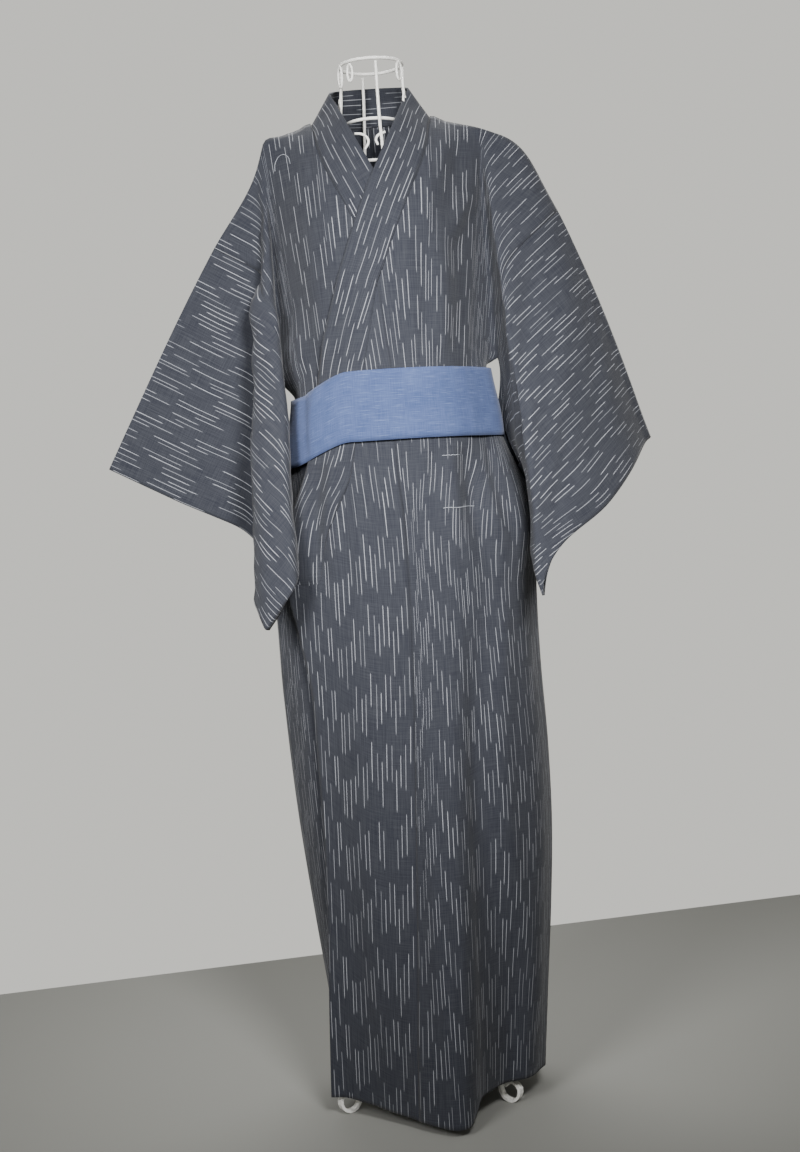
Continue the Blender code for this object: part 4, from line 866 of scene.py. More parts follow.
# Overlap panel together with the collar's lower run, from the front edge to the seam.
def okumiSurface(rows, side, share, z):
    table = np.array(rows)
    xTop, xLow = (curve(table[:, [0, k]], share)[..., 0] for k in (1, 2))
    yTop = chest(side * xTop, np.full_like(xTop, yukata["beltTop"]), side)
    top = np.stack([xTop, yTop], axis=-1)
    low = np.stack([xLow, yTop * yukata["flare"][1]], axis=-1)
    heights = [yukata["beltTop"], yukata["beltLow"], band["collarEnd"]]
    heights += [yukata["hip"], yukata["knee"], hemHeight(rows, share)]
    xy = between([top, low, *placesIn(rows, share, 3, 4)], heights, z)
    return np.concatenate([xy, z[..., None]], axis=-1)


def chestPoint(x, z, side):
    return np.stack([side * x, chest(x, z, side), z], axis=-1)


# Share of the way from the belt's top to the overlap panel's point.
def riseOf(z):
    return (z - yukata["beltTop"]) / (band["okumiPoint"] - yukata["beltTop"])


# Where the collar's outer edge lies between the belt and the overlap panel's point.
def outerEdge(z):
    return band["edgeLow"] + (band["seamHigh"] - band["edgeLow"]) * riseOf(z)


# Overlap panel: full width below the belt, then beside the collar up to its point.
def okumi(side, columns):
    rows = bySide(band, "okumi", side)
    across = np.linspace(0.0, 1.0, columns)[None]
    low = hemHeight(rows, across)
    down = np.linspace(0.0, 1.0, yukata["skirtRows"])[:, None]
    z = low + (band["collarEnd"] - band["endGap"] - low) * down
    parts = [okumiSurface(rows, side, np.broadcast_to(across, z.shape), z)]
    z = np.array(band["collarLevels"])[:, None] * np.ones_like(across)
    # below the belt it runs on under the collar; above, it stops at the collar's edge
    edge = curve(band["collarShare"], z)[..., 0] * (z > 0.99)
    parts.append(okumiSurface(rows, side, edge + (1.0 - edge) * across, z))
    below = np.concatenate(parts)
    seamZ = below[:, -1, 2]
    goal = skirt(side, True, np.zeros_like(seamZ), seamZ, bySide(yukata, "front", side))
    below[..., :2] += (goal - below[:, -1])[:, None, :2] * across[..., None] ** 2
    z = np.array(band["okumiLevels"][1:])[:, None] * np.ones_like(across)
    seam = band["seamLow"] + (band["seamHigh"] - band["seamLow"]) * riseOf(z)
    x = outerEdge(z) + (seam - outerEdge(z)) * across
    return np.concatenate([below, chestPoint(x, z, side)])


# Stations of the collar on one front, from its lower end to the side of the neck.
def collarStations(side, columns):
    across = np.linspace(0.0, 1.0, columns)[None]
    rows = bySide(band, "okumi", side)
    z = np.array(band["collarLevels"])[:, None] * np.ones_like(across)
    share = curve(band["collarShare"], z)[..., 0] * across
    parts = [okumiSurface(rows, side, share, z)]
    levels = np.array(band["okumiLevels"][1:])[:, None]
    innerX = curve(band["collarLow"], levels[:, 0])
    innerZ = levels + 0.010 * riseOf(levels)
    x = innerX + (outerEdge(levels) - innerX) * across
    z = innerZ + (levels - innerZ) * across
    parts.append(chestPoint(x, z, side))
    edges = curve(band["neckFront"], yukata["neckColumns"])
    outerX, outerZ, innerX, innerY, innerZ = (edges[:, k : k + 1] for k in range(5))
    x = innerX + (outerX - innerX) * across
    z = innerZ + (outerZ - innerZ) * across
    lift = yukata["layer"] * smooth((ridge(innerX) - innerZ) / 0.08) if side > 0 else 0.0
    loose = -innerY - lift
    y = loose + (chest(outerX, outerZ, side) - loose) * across
    free = np.stack([side * x, y, z], axis=-1)
    leave = smooth((np.array(yukata["neckColumns"]) - 0.042) / 0.033)[:, None, None]
    parts.append(chestPoint(x, z, side) * (1 - leave) + free * leave)
    return np.concatenate(parts)


# Stations of the collar from the side of the neck to the centre back.
def collarBack(side, columns):
    across = np.linspace(0.0, 1.0, columns)[None, :, None]
    edges = curve(band["neckBack"], yukata["neckColumns"][::-1])
    outer, inner = (edges[:, None, k : k + 3] * (side, -1.0, 1.0) for k in (0, 3))
    return inner + (outer - inner) * across


# Collar band from the left front's end, round the neck, to the right front's end.
def collarGrid(columns):
    halves = [
        np.concatenate([collarStations(side, columns), collarBack(side, columns)[1:]])
        for side in (1.0, -1.0)
    ]
    return np.concatenate([halves[0], halves[1][::-1][1:]])


# Rings of a sleeve: down its front layer from the folded top, and up its back layer, with the
# place of each point in the flat cloth.
def sleeveGrid(side):
    start, armhole = sleeve["start"], sleeve["armhole"]
    low = tie(side, np.array(yukata["bodyWidth"]))
    scale = (yukata["shoulderZ"] - low) / yukata["slant"]
    seam = [(1.0 - rise) * scale for rise in yukata["rises"][::-1]]
    down = [max(float(d), 1e-6) for d in seam if d < armhole] + list(sleeve["sleeveTailRows"])
    along = (start + np.array(sleeve["sleeveColumns"]))[:, None]
    along, down = np.broadcast_arrays(along, np.array(down)[None])
    out = along - start
    front, n = layer(side, True, along, down)
    nested = fan(side, True, along, down, nest=True) + n * yukata["fold"]
    closed = smooth((along - start - sleeve["sleeveWidth"] + 0.05) / 0.05)
    closed = 0.7 * (closed * smooth((down - sleeve["wristOpening"] + 0.03) / 0.04))[..., None]
    nested = nested * (1 - closed) + (front + n * 2.6 * yukata["fold"]) * closed
    behind, _ = layer(side, False, along, down)
    angle = np.degrees(np.arctan2(down, along))
    if side < 0:
        hug = (smooth((angle - 51.0) / 6.0) * smooth((down - 0.36) / 0.06))[..., None]
        nested = nested * (1 - hug) + (front + (side * 0.0055, 0.0, 0.0)) * hug
    clear = 0.006 * smooth((down - armhole) / 0.03) * (1.0 - smooth((down - 0.36) / 0.06))
    clear = clear * smooth((angle - 50.0) / 8.0)
    for part in (front, nested, behind):
        part[..., 0] += side * clear
    away = smooth(out / 0.22)
    begin = armhole - 0.08 * smooth(out / 0.06)
    spread = 0.14 + 0.05 * smooth(out / 0.06)
    near = ((1.0 - away) * (1.0 - smooth((down - begin) / spread)))[..., None]
    rear = nested * (1 - near) + behind * near
    free = smooth((down - 0.17) / 0.04) * (1.0 - smooth((down - 0.41) / 0.05))
    free = free * (1.0 - smooth((along - start - 0.10) / 0.06))
    free = free * ((down > armhole) | (along > start + 0.01))
    rear = relax(rear, free[..., None], 60)
    off = smooth((down - 0.29) / 0.04) * (1.0 - smooth((down - 0.41) / 0.05))
    off = off * (1.0 - smooth(out / 0.07))
    rear[..., 0] += side * (0.003 if side > 0 else 0.006) * off
    return front, rear, along, down


belt = {
    "beltWall": 0.0026,  # room that the belt's cloth takes
    "shownWall": 0.0020,
    "wrapShift": 0.0024,  # clearance of the belt over the wrapped robe
    "beltHeight": 0.099,
    "beltMiddle": 1.022,
    "beltDroop": 0.032,  # the robe is gathered lower at the wearer's right side
    "beltTilt": 0.030,  # and the belt sits lower there
    "beltLap": 0.10,
}


# Convex outline of points in a plane.
def hull(points):
    points = sorted(set(map(tuple, np.round(points, 6).tolist())))

    def half(items):
        line = []
        for p in items:
            while len(line) > 1:
                (ax, ay), (bx, by) = line[-2], line[-1]
                if (bx - ax) * (p[1] - ay) - (by - ay) * (p[0] - ax) > 0:
                    break
                line.pop()
            line.append(p)
        return line[:-1]

    return np.array(half(points) + half(points[::-1]))


# Distance from the middle to a closed outline, in a direction.
def reachOf(outline, angle):
    d = np.array([math.cos(angle), math.sin(angle)])
    best = 0.0
    for a, b in zip(outline, np.roll(outline, -1, axis=0)):
        e = b - a
        cross = d[0] * e[1] - d[1] * e[0]
        if abs(cross) < 1e-12:
            continue
        t = (a[0] * e[1] - a[1] * e[0]) / cross
        s = (a[0] * d[1] - a[1] * d[0]) / cross
        if t > 0 and -1e-9 <= s <= 1 + 1e-9:
            best = max(best, t)
    return best


# Outline of all the cloth at one height behind the belt.
def waistOutline(height):
    share = np.linspace(0.0, 1.0, 15)
    width = share * yukata["bodyWidth"]
    found = []
    for _, side, front, rows in panels:
        low = tie(side, width)
        above = height > low
        at = skirt(side, front, share, np.minimum(height, low), rows)[:, :2]
        rise = np.where(above, (height - low) / 0.35, 0.0)
        atTop = upper(side, front, width, rise)[:, :2]
        found.append(np.where(above[:, None], atTop, at)[(width < 0.28) | ~above])
    z = np.full(9, min(height, yukata["beltTop"]))
    edge = okumiSurface(band["okumiLeft"], 1.0, np.linspace(0.0, 1.0, 9), z)[:, :2]
    found.append(edge * (1.0 + 0.0006 / np.linalg.norm(edge, axis=1, keepdims=True)))
    return hull(np.concatenate(found))


# Belt: once round over the wrapped robe, with its end lapped over itself at the back.
def beltGrid(stations, rows):
    heights = np.linspace(0.90, 1.08, 10)
    outlines = [waistOutline(h) for h in heights]
    start = math.radians(78.0)
    once = start + 2 * math.pi
    wall = belt["beltWall"]
    onRobe = yukata["cloth"] / 2 + wall / 2 + belt["wrapShift"]
    points = []
    for a in np.linspace(start, once + belt["beltLap"] / 0.118, stations):
        x = math.cos(a)
        tilt = belt["beltTilt"] * smooth((-0.40 - x) / 0.60)
        z = belt["beltMiddle"] - tilt + belt["beltHeight"] * (np.linspace(0.0, 1.0, rows) - 0.5)
        over = np.interp(a, [start, once - 0.12, once - 0.02], [0.0, 0.0, 1.0])
        out = onRobe + over * (wall + 3 * yukata["gap"])
        reach = [reachOf(o, a) for o in outlines]
        widest = np.maximum(np.interp(z, heights, reach), np.interp(z - 0.012, heights, reach))
        radii = widest + out
        points.append(np.stack([radii * math.cos(a), radii * math.sin(a), z], axis=-1))
    return np.array(points)


# Cubic values at new keys along the first axis of an array, through all of its rows.
def through(keys, values, at):
    step = np.diff(keys)
    shape = (-1,) + (1,) * (values.ndim - 1)
    rise = np.diff(values, axis=0) / step.reshape(shape)
    slope = slopesOf(rise, step.reshape(shape))
    limit = 5.0 * np.minimum(np.abs(rise[:-1]), np.abs(rise[1:]))
    slope[1:-1] = np.clip(slope[1:-1], -limit, limit)  # no swing past a sudden step
    i = np.clip(np.searchsorted(keys, at, side="right") - 1, 0, len(keys) - 2)
    h = step[i].reshape(shape)
    s = ((at - keys[i]) / step[i]).reshape(shape)
    return cubic(values[i], values[i + 1], slope[i], slope[i + 1], h, s)


# Spreads new rows and columns of about this size over a coarse grid.
def refine(grid, size):
    for axis in (0, 1):
        grid = np.moveaxis(grid, axis, 0)
        gaps = gapsOf(grid[..., :3], 0).mean(axis=1)
        keys = np.concatenate([[0.0], np.cumsum(np.maximum(gaps, 1e-5))])
        count = int(math.ceil(keys[-1] / size)) + 1
        grid = through(keys, grid, np.linspace(0.0, keys[-1], count))
        grid = np.moveaxis(grid, 0, axis)
    return grid


# Lengths of cloth along the warp, counted down the robe. They match at the belt's top.
def warpOf(points):
    run = np.cumsum(np.pad(gapsOf(points, 0), ((1, 0), (0, 0))), axis=0)
    beltRow = yukata["skirtRows"] + len(band["collarLevels"]) - 1
    return run[beltRow] - run + yukata["warpAtBelt"]


# Lengths of cloth across a grid, from its first column.
def widthOf(points):
    return np.cumsum(np.pad(gapsOf(points, 1), ((0, 0), (1, 0))), axis=1)


# Mean length of cloth along a grid, from its first row.
def runOf(points):
    return np.concatenate([[0.0], np.cumsum(gapsOf(points, 0).mean(axis=1))])[:, None]


# Soft troughs and ridges. Each row: from and to in the surface's own pair of sizes, width at both
# ends, and height, which is below zero for a trough.
def creaseHeight(pair, rows):
    height = np.zeros(pair.shape[:-1])
    for fromA, fromB, toA, toB, wideFrom, wideTo, rise in rows:
        line = np.array([toA - fromA, toB - fromB])
        long = np.hypot(*line)
        rel = pair - (fromA, fromB)
        share = np.clip((rel @ line) / long**2, -0.5, 1.5)
        aside = (rel[..., 0] * line[1] - rel[..., 1] * line[0]) / long
        inside = np.clip(share, 0.0, 1.0)
        bow = 0.04 * long * np.sin(math.pi * inside)  # no crease is quite straight
        wide = wideFrom + (wideTo - wideFrom) * inside
        ends = smooth((share + 0.12) / 0.3) * smooth((1.12 - share) / 0.4)
        height = height + rise * ends * np.exp(-(((aside - bow) / wide) ** 2))
    return height


# Loose cloth is never flat: low waves, long along the hang and short across it.
def wavesOf(pair, seed, size):
    a, b = pair[..., 0], pair[..., 1]
    turn = 0.35 * np.sin(5.1 * b + seed) + 0.22 * np.sin(11.3 * b + 2.1 * seed)
    waves = 0.50 * np.sin(2 * math.pi * a / 0.078 + 2.0 * turn + seed * 1.7)
    waves = waves + 0.32 * np.sin(2 * math.pi * a / 0.047 - 2.6 * turn + 4.0 * b + seed * 2.9)
    waves = waves + 0.22 * np.sin(2 * math.pi * (a + 0.35 * b) / 0.12 + seed * 0.7)
    mask = 0.55 + 0.45 * np.sin(7.3 * b + 5.0 * a + seed)
    return size * waves * mask


def makeActive(piece):
    bpy.ops.object.select_all(action="DESELECT")
    piece.select_set(True)
    bpy.context.view_layer.objects.active = piece


# Cloth that stands for a solid, from a grid of points with their places in the flat cloth. Its
# wall is built on. What the sheet says of itself is not used.
def makeCloth(node, grid, wall, finish=cotton, slot="charcoal_cotton", **sheet):
    name = "cloth_" + node
    rows, columns = grid.shape[:2]
    points = grid[..., :3] + yukata["originShift"]
    mesh = bpy.data.meshes.new(name)
    index = np.arange(rows * columns).reshape(rows, columns)
    corners = [index[:-1, :-1], index[:-1, 1:], index[1:, 1:], index[1:, :-1]]
    faces = np.stack(corners, axis=-1).reshape(-1, 4)
    mesh.from_pydata(points.reshape(-1, 3).tolist(), [], faces.tolist())
    layout = mesh.uv_layers.new(name="UVMap")
    corner = np.empty(len(mesh.loops), np.int32)
    mesh.loops.foreach_get("vertex_index", corner)
    flat = grid[..., 3:5].reshape(-1, 2)[corner]
    layout.data.foreach_set("uv", flat.astype(np.float32).ravel())
    mesh.materials.append(finish)
    mesh.shade_smooth()
    piece = bpy.data.objects.new(name, mesh)
    bpy.context.scene.collection.objects.link(piece)
    thick = piece.modifiers.new("wall", "SOLIDIFY")
    thick.thickness = wall
    thick.offset = 0.0
    thick.use_even_offset = False
    makeActive(piece)
    bpy.ops.object.modifier_apply(modifier="wall")
    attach(piece, "root")
    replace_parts(piece, node)


# Normals of a fine grid that point away from the middle of the robe.
def outwardOf(points):
    n = normalsOf(points)
    away = np.sum(n * points * (1.0, 1.0, 0.0), axis=-1)
    return n * (np.sign(away.mean()) or 1.0)


folds = {
    "wall": 0.0006,
    "grid": 0.006,
    "under": 0.35,  # how much of its folds the right side shows, pressed flat by the left side
    # Creases of the front: across and height at both ends, widths, and height of the ridge.
    "front": (
        # gathers under the belt, at the wearer's right
        (-0.128, 0.955, -0.165, 0.800, 0.007, 0.016, -0.0045),
        (-0.112, 0.955, -0.140, 0.790, 0.007, 0.015, 0.0035),
        (-0.096, 0.960, -0.118, 0.760, 0.007, 0.016, -0.0040),
        (-0.080, 0.962, -0.094, 0.800, 0.007, 0.014, 0.0028),
        (-0.062, 0.965, -0.070, 0.740, 0.007, 0.017, -0.0030),
        (-0.030, 0.965, -0.036, 0.800, 0.008, 0.018, -0.0018),
        # and at the wearer's left
        (0.020, 0.965, 0.024, 0.800, 0.008, 0.018, -0.0018),
        (0.060, 0.965, 0.072, 0.740, 0.008, 0.018, -0.0035),
        (0.084, 0.965, 0.104, 0.760, 0.007, 0.016, 0.0032),
        (0.104, 0.965, 0.132, 0.780, 0.007, 0.016, -0.0045),
        (0.124, 0.960, 0.158, 0.800, 0.007, 0.014, 0.0035),
        (0.140, 0.960, 0.178, 0.790, 0.006, 0.014, -0.0040),
        # gathers above the belt
        (-0.105, 1.085, -0.128, 1.250, 0.007, 0.018, -0.0035),
        (-0.086, 1.085, -0.104, 1.220, 0.007, 0.016, 0.0025),
        (0.050, 1.085, 0.060, 1.260, 0.008, 0.020, -0.0030),
        (0.078, 1.085, 0.086, 1.240, 0.007, 0.016, 0.0025),
        (0.100, 1.085, 0.110, 1.270, 0.007, 0.018, -0.0035),
        # pull from the shoulders to the breast
        (0.128, 1.395, 0.098, 1.270, 0.010, 0.016, -0.0030),
        (0.108, 1.410, 0.066, 1.260, 0.010, 0.018, 0.0024),
        (0.140, 1.330, 0.108, 1.255, 0.008, 0.012, 0.0030),
        (0.144, 1.305, 0.112, 1.225, 0.008, 0.012, -0.0030),
        (-0.122, 1.395, -0.116, 1.200, 0.010, 0.018, -0.0030),
        (-0.098, 1.400, -0.080, 1.250, 0.010, 0.018, 0.0022),
        # where the cloth was folded away
        (0.090, 0.716, 0.180, 0.706, 0.004, 0.004, 0.0012),
        (-0.100, 0.135, -0.062, 0.135, 0.004, 0.004, 0.0012),
        # long soft folds of the skirt
        (-0.085, 0.720, -0.092, 0.120, 0.018, 0.026, -0.0035),
        (-0.030, 0.700, -0.040, 0.100, 0.020, 0.028, 0.0030),
        (0.115, 0.740, 0.122, 0.160, 0.014, 0.022, -0.0040),
        (0.150, 0.760, 0.160, 0.140, 0.012, 0.018, 0.0035),
    ),
    # The same behind, with the fullness that the belt draws to the middle.
    "back": (
        (-0.120, 0.955, -0.150, 0.790, 0.007, 0.016, -0.0045),
        (-0.096, 0.955, -0.112, 0.770, 0.007, 0.015, 0.0035),
        (-0.070, 0.955, -0.078, 0.730, 0.008, 0.018, -0.0040),
        (-0.036, 0.955, -0.040, 0.760, 0.008, 0.016, 0.0030),
        (0.030, 0.955, 0.034, 0.740, 0.008, 0.018, -0.0038),
        (0.060, 0.955, 0.070, 0.770, 0.007, 0.016, 0.0030),
        (0.090, 0.955, 0.106, 0.750, 0.007, 0.018, -0.0045),
        (0.118, 0.955, 0.146, 0.780, 0.007, 0.016, 0.0035),
        (-0.090, 1.085, -0.104, 1.260, 0.007, 0.020, -0.0038),
        (-0.060, 1.085, -0.066, 1.230, 0.007, 0.018, 0.0028),
        (0.046, 1.085, 0.052, 1.250, 0.008, 0.020, -0.0035),
        (0.084, 1.085, 0.094, 1.270, 0.007, 0.018, 0.0032),
        (0.104, 1.085, 0.116, 1.240, 0.007, 0.016, -0.0034),
        (-0.130, 1.390, -0.090, 1.250, 0.010, 0.018, -0.0028),
        (0.130, 1.390, 0.092, 1.255, 0.010, 0.018, -0.0028),
        (-0.095, 0.740, -0.104, 0.110, 0.018, 0.028, -0.0040),
        (-0.045, 0.720, -0.050, 0.100, 0.020, 0.028, 0.0032),
        (0.050, 0.740, 0.056, 0.120, 0.018, 0.026, -0.0036),
        (0.110, 0.760, 0.120, 0.110, 0.018, 0.026, 0.0034),
    ),
    # Creases of the sleeves: distance along the folded top from the shoulder, and down from it.
    "sleeve": (
        (0.200, 0.080, 0.330, 0.300, 0.016, 0.026, -0.0028),
        (0.240, 0.050, 0.420, 0.250, 0.018, 0.030, 0.0026),
        (0.300, 0.040, 0.480, 0.190, 0.014, 0.024, -0.0022),
        (0.210, 0.180, 0.290, 0.420, 0.012, 0.022, 0.0028),
        (0.250, 0.250, 0.380, 0.450, 0.014, 0.022, -0.0028),
        (0.320, 0.240, 0.440, 0.430, 0.014, 0.024, 0.0024),
        (0.400, 0.200, 0.500, 0.400, 0.014, 0.022, -0.0020),
    ),
}


# Height of the folds at each point of a body piece. The belt holds them flat where it lies.
def bodyFolds(points, front, size=1.0):
    pair = points[..., [0, 2]]
    z = points[..., 2]
    height = creaseHeight(pair, folds["front" if front else "back"])
    deep = 0.0011 + 0.0014 * smooth((0.98 - z) / 0.1)
    height = height + wavesOf(pair, 1.3 if front else 4.2, deep)
    lean = belt["beltTilt"] * smooth((-0.40 - points[..., 0] / 0.145) / 0.60)
    held = smooth((np.abs(z - (belt["beltMiddle"] - lean)) - 0.046) / 0.03)
    top = smooth((1.46 - z) / 0.06)
    return size * height * held * top


def makeBody():
    first, last = yukata["shoulderWidth"], yukata["bodyWidth"]
    sides = np.linspace(first, last, yukata["sideColumns"])[1:]
    widths = np.array(yukata["neckColumns"] + yukata["shoulderColumns"] + tuple(sides))
    for name, side, front, rows in panels:
        points = swell(side, bodyPanel(side, front, rows, widths))
        run = warpOf(points)
        cloth = withCloth(points, side * widths[None], run if front else -run)
        grid = refine(cloth, folds["grid"])
        size = folds["under"] if name == "front_right" else 1.0
        near = smooth((yukata["bodyWidth"] - np.abs(grid[..., 3])) / 0.06)
        rise = bodyFolds(grid[..., :3], front, size) * near
        grid[..., :3] += outwardOf(grid[..., :3]) * rise[..., None]
        sheet = {"flat": (0.335, 1.42), "held": "hung"}
        sheet["area"] = 0.395 if front else 0.455  # less the cut-away neck
        sheet["rests_on"] = ["rib_left", "rib_right", "belt"]
        makeCloth(name, grid, folds["wall"], **sheet)
    print("body panels made")


def makeOverlaps():
    for name, side, size in (("okumi_left", 1.0, 1.0), ("okumi_right", -1.0, folds["under"])):
        points = okumi(side, 6)
        points = wrap(points) if side > 0 else points
        wide = widthOf(points)
        across = side * (wide - wide[:, -1:]) + side * band["patternShift"]
        grid = refine(withCloth(points, across, warpOf(points)), folds["grid"])
        rise = bodyFolds(grid[..., :3], True, size)
        grid[..., :3] += outwardOf(grid[..., :3]) * rise[..., None]
        sheet = {"flat": (0.150, 1.16), "area": 0.128, "held": "hung"}
        sheet["rests_on"] = ["front_left", "belt"]
        makeCloth(name, grid, folds["wall"], **sheet)
    print("overlap panels made")


# The left sleeve's lowest corner is caught up a little, and its lower edge hangs fuller.
def catchUp(points):
    points = points.copy()
    x, z = points[..., 0].copy(), points[..., 2].copy()
    low = smooth((0.87 - z) / 0.12)
    full = np.exp(-(((z - 0.865) / 0.055) ** 2)) * smooth((x - 0.215) / 0.07)
    points[..., 0] = x - 0.010 * low + 0.015 * full
    points[..., 2] = z + 0.019 * low
    return points


def makeSleeves():
    start = sleeve["start"]
    for name, side in (("left", 1.0), ("right", -1.0)):
        front, rear, along, down = sleeveGrid(side)
        lines = along
        if side > 0:
            # the warp of the left sleeve's outer face runs straight, at the slope of its hang
            slope = math.radians(40.0)
            level = front[..., 2] * math.cos(slope) - front[..., 0] * math.sin(slope)
            middle = len(along) // 2
            straight = along[middle, 0] + level[middle, 0] - level
            lines = along + 0.9 * smooth((along - start) / 0.04) * (straight - along)
            front, rear = catchUp(front), catchUp(rear)
        behind = along + lines[:, :1] - along[:, :1]
        first = withCloth(front, side * (lines + yukata["shoulderWidth"]), down)
        second = withCloth(rear, side * (behind + yukata["shoulderWidth"]), -down)
        ring = np.concatenate([second[:, ::-1], first], axis=1)
        ring = np.concatenate([ring, ring[:, :1]], axis=1)
        ring[:, -1, 4] = down[:, -1] + 0.002  # closed along the sleeve's lower edge
        out = np.broadcast_to(along[:, :1, None], ring.shape[:2] + (1,))
        grid = refine(np.concatenate([ring, out], axis=-1), folds["grid"] * 0.9)
        n = normalsOf(grid[..., :3])
        v, out = grid[..., 4], grid[..., 5]
        pair = np.stack([out, np.abs(v)], axis=-1)
        height = creaseHeight(pair, folds["sleeve"]) + wavesOf(pair, 2.2 + side, 0.0009)
        edge = smooth((out - start) / 0.05) * smooth(np.abs(v) / 0.03)
        edge = edge * smooth((sleeve["sleeveDrop"] - np.abs(v)) / 0.04)
        # the ring is one strip, so what faces out in its front layer faces out all round
        facing = np.sign(np.mean(n[..., 1][v > 0.05])) or 1.0
        rise = -facing * height * edge
        faint = np.where(v > 0, 1.0, 0.4)[..., None]  # the back layer is stretched smoother
        grid[..., :3] += n * rise[..., None] * faint
        sheet = {"flat": (0.355, 0.98), "held": "hung"}
        sheet["rests_on"] = ["front_" + name, "back_" + name]
        makeCloth("sleeve_" + name, grid, folds["wall"], **sheet)
    print("sleeves made")


bandFinish = {
    "wall": 0.0016,
    "coverWall": 0.0004,  # the cloth over the collar
    "inset": 0.0035,  # and how far it stops short of the collar's outer edge
    "grid": 0.005,
}


# The collar's lower runs lie on the fronts and fold with them; round the neck it stands free.
def collarFolds(grid):
    n = normalsOf(grid[..., :3])
    n = n * np.sign(-n[..., 1:2])
    z = grid[..., 2]
    low = smooth((1.20 - z) / 0.10)
    size = np.where(grid[..., 4] < grid[..., 4].mean(), 1.0, folds["under"])
    # its lower end goes in under the overlap's surface, as if stitched down
    end = smooth((z - band["collarEnd"]) / 0.015)
    proud = 0.0013 * smooth((1.0 - z) / 0.04) * end - 0.0011 * (1.0 - end)
    rise = bodyFolds(grid[..., :3], True) * low * size + proud
    grid[..., :3] += n * rise[..., None]
    return grid


def makeCollar():
    points = collarGrid(4)
    half = len(points) // 2
    points[:half] = wrap(points[:half])
    coarse = withCloth(points, widthOf(points) + 0.5, runOf(points))
    grid = collarFolds(refine(coarse, bandFinish["grid"]))
    sheet = {"flat": (0.062, 1.80), "held": "hung", "rests_on": ["front_left", "front_right"]}
    makeCloth("collar", grid, bandFinish["wall"], **sheet)
    ends = len(band["collarLevels"]) + len(band["okumiLevels"]) - 1
    ends += yukata["neckColumns"].index(0.055)
    outward = normalsOf(points)
    if outward[0, 0, 1] > 0:
        outward = -outward
    cover = np.concatenate([coarse, outward], axis=-1)
    back = cover[:, -2] - cover[:, -1]
    long = np.maximum(np.linalg.norm(back, axis=-1, keepdims=True), 1e-9)
    cover[:, -1] += back / long * np.minimum(bandFinish["inset"], 0.4 * long)
    grid = refine(cover[ends:-ends], bandFinish["grid"])
    # both ends sink into the collar, as if turned under and slip-stitched
    run = grid[..., 4]
    spare = np.minimum(run - run.min(), run.max() - run)
    lift = bandFinish["wall"] / 2 + bandFinish["coverWall"] / 2 + 0.0002
    lift = lift * (2.0 * smooth(spare / 0.02) - 1.0)
    grid[..., :3] += grid[..., 5:] * lift[..., None]
    grid = collarFolds(grid[..., :5])
    sheet = {"flat": (0.055, 0.56), "held": "laid", "rests_on": ["collar"]}
    makeCloth("over_collar", grid, bandFinish["coverWall"], **sheet)
    print("collar made")


def makeBelt():
    points = beltGrid(200, 14)
    # a soft fold runs down the belt at the wearer's right
    dent = 0.0022 * np.exp(-(((points[..., 0] + 0.121) / 0.005) ** 2)) * (points[..., 1] < 0)
    points[..., :2] *= (1.0 - dent / np.linalg.norm(points[..., :2], axis=-1))[..., None]
    run = runOf(points)
    grid = withCloth(points, np.linspace(0.0, belt["beltHeight"], points.shape[1])[None], run)
    sheet = {"held": "stretched", "rests_on": ["front_left", "back_left"]}
    sheet["flat"] = (belt["beltHeight"], float(run.max()))
    makeCloth("belt", grid, belt["shownWall"], blueCotton, "slate_blue_cotton", **sheet)
    print("belt made")


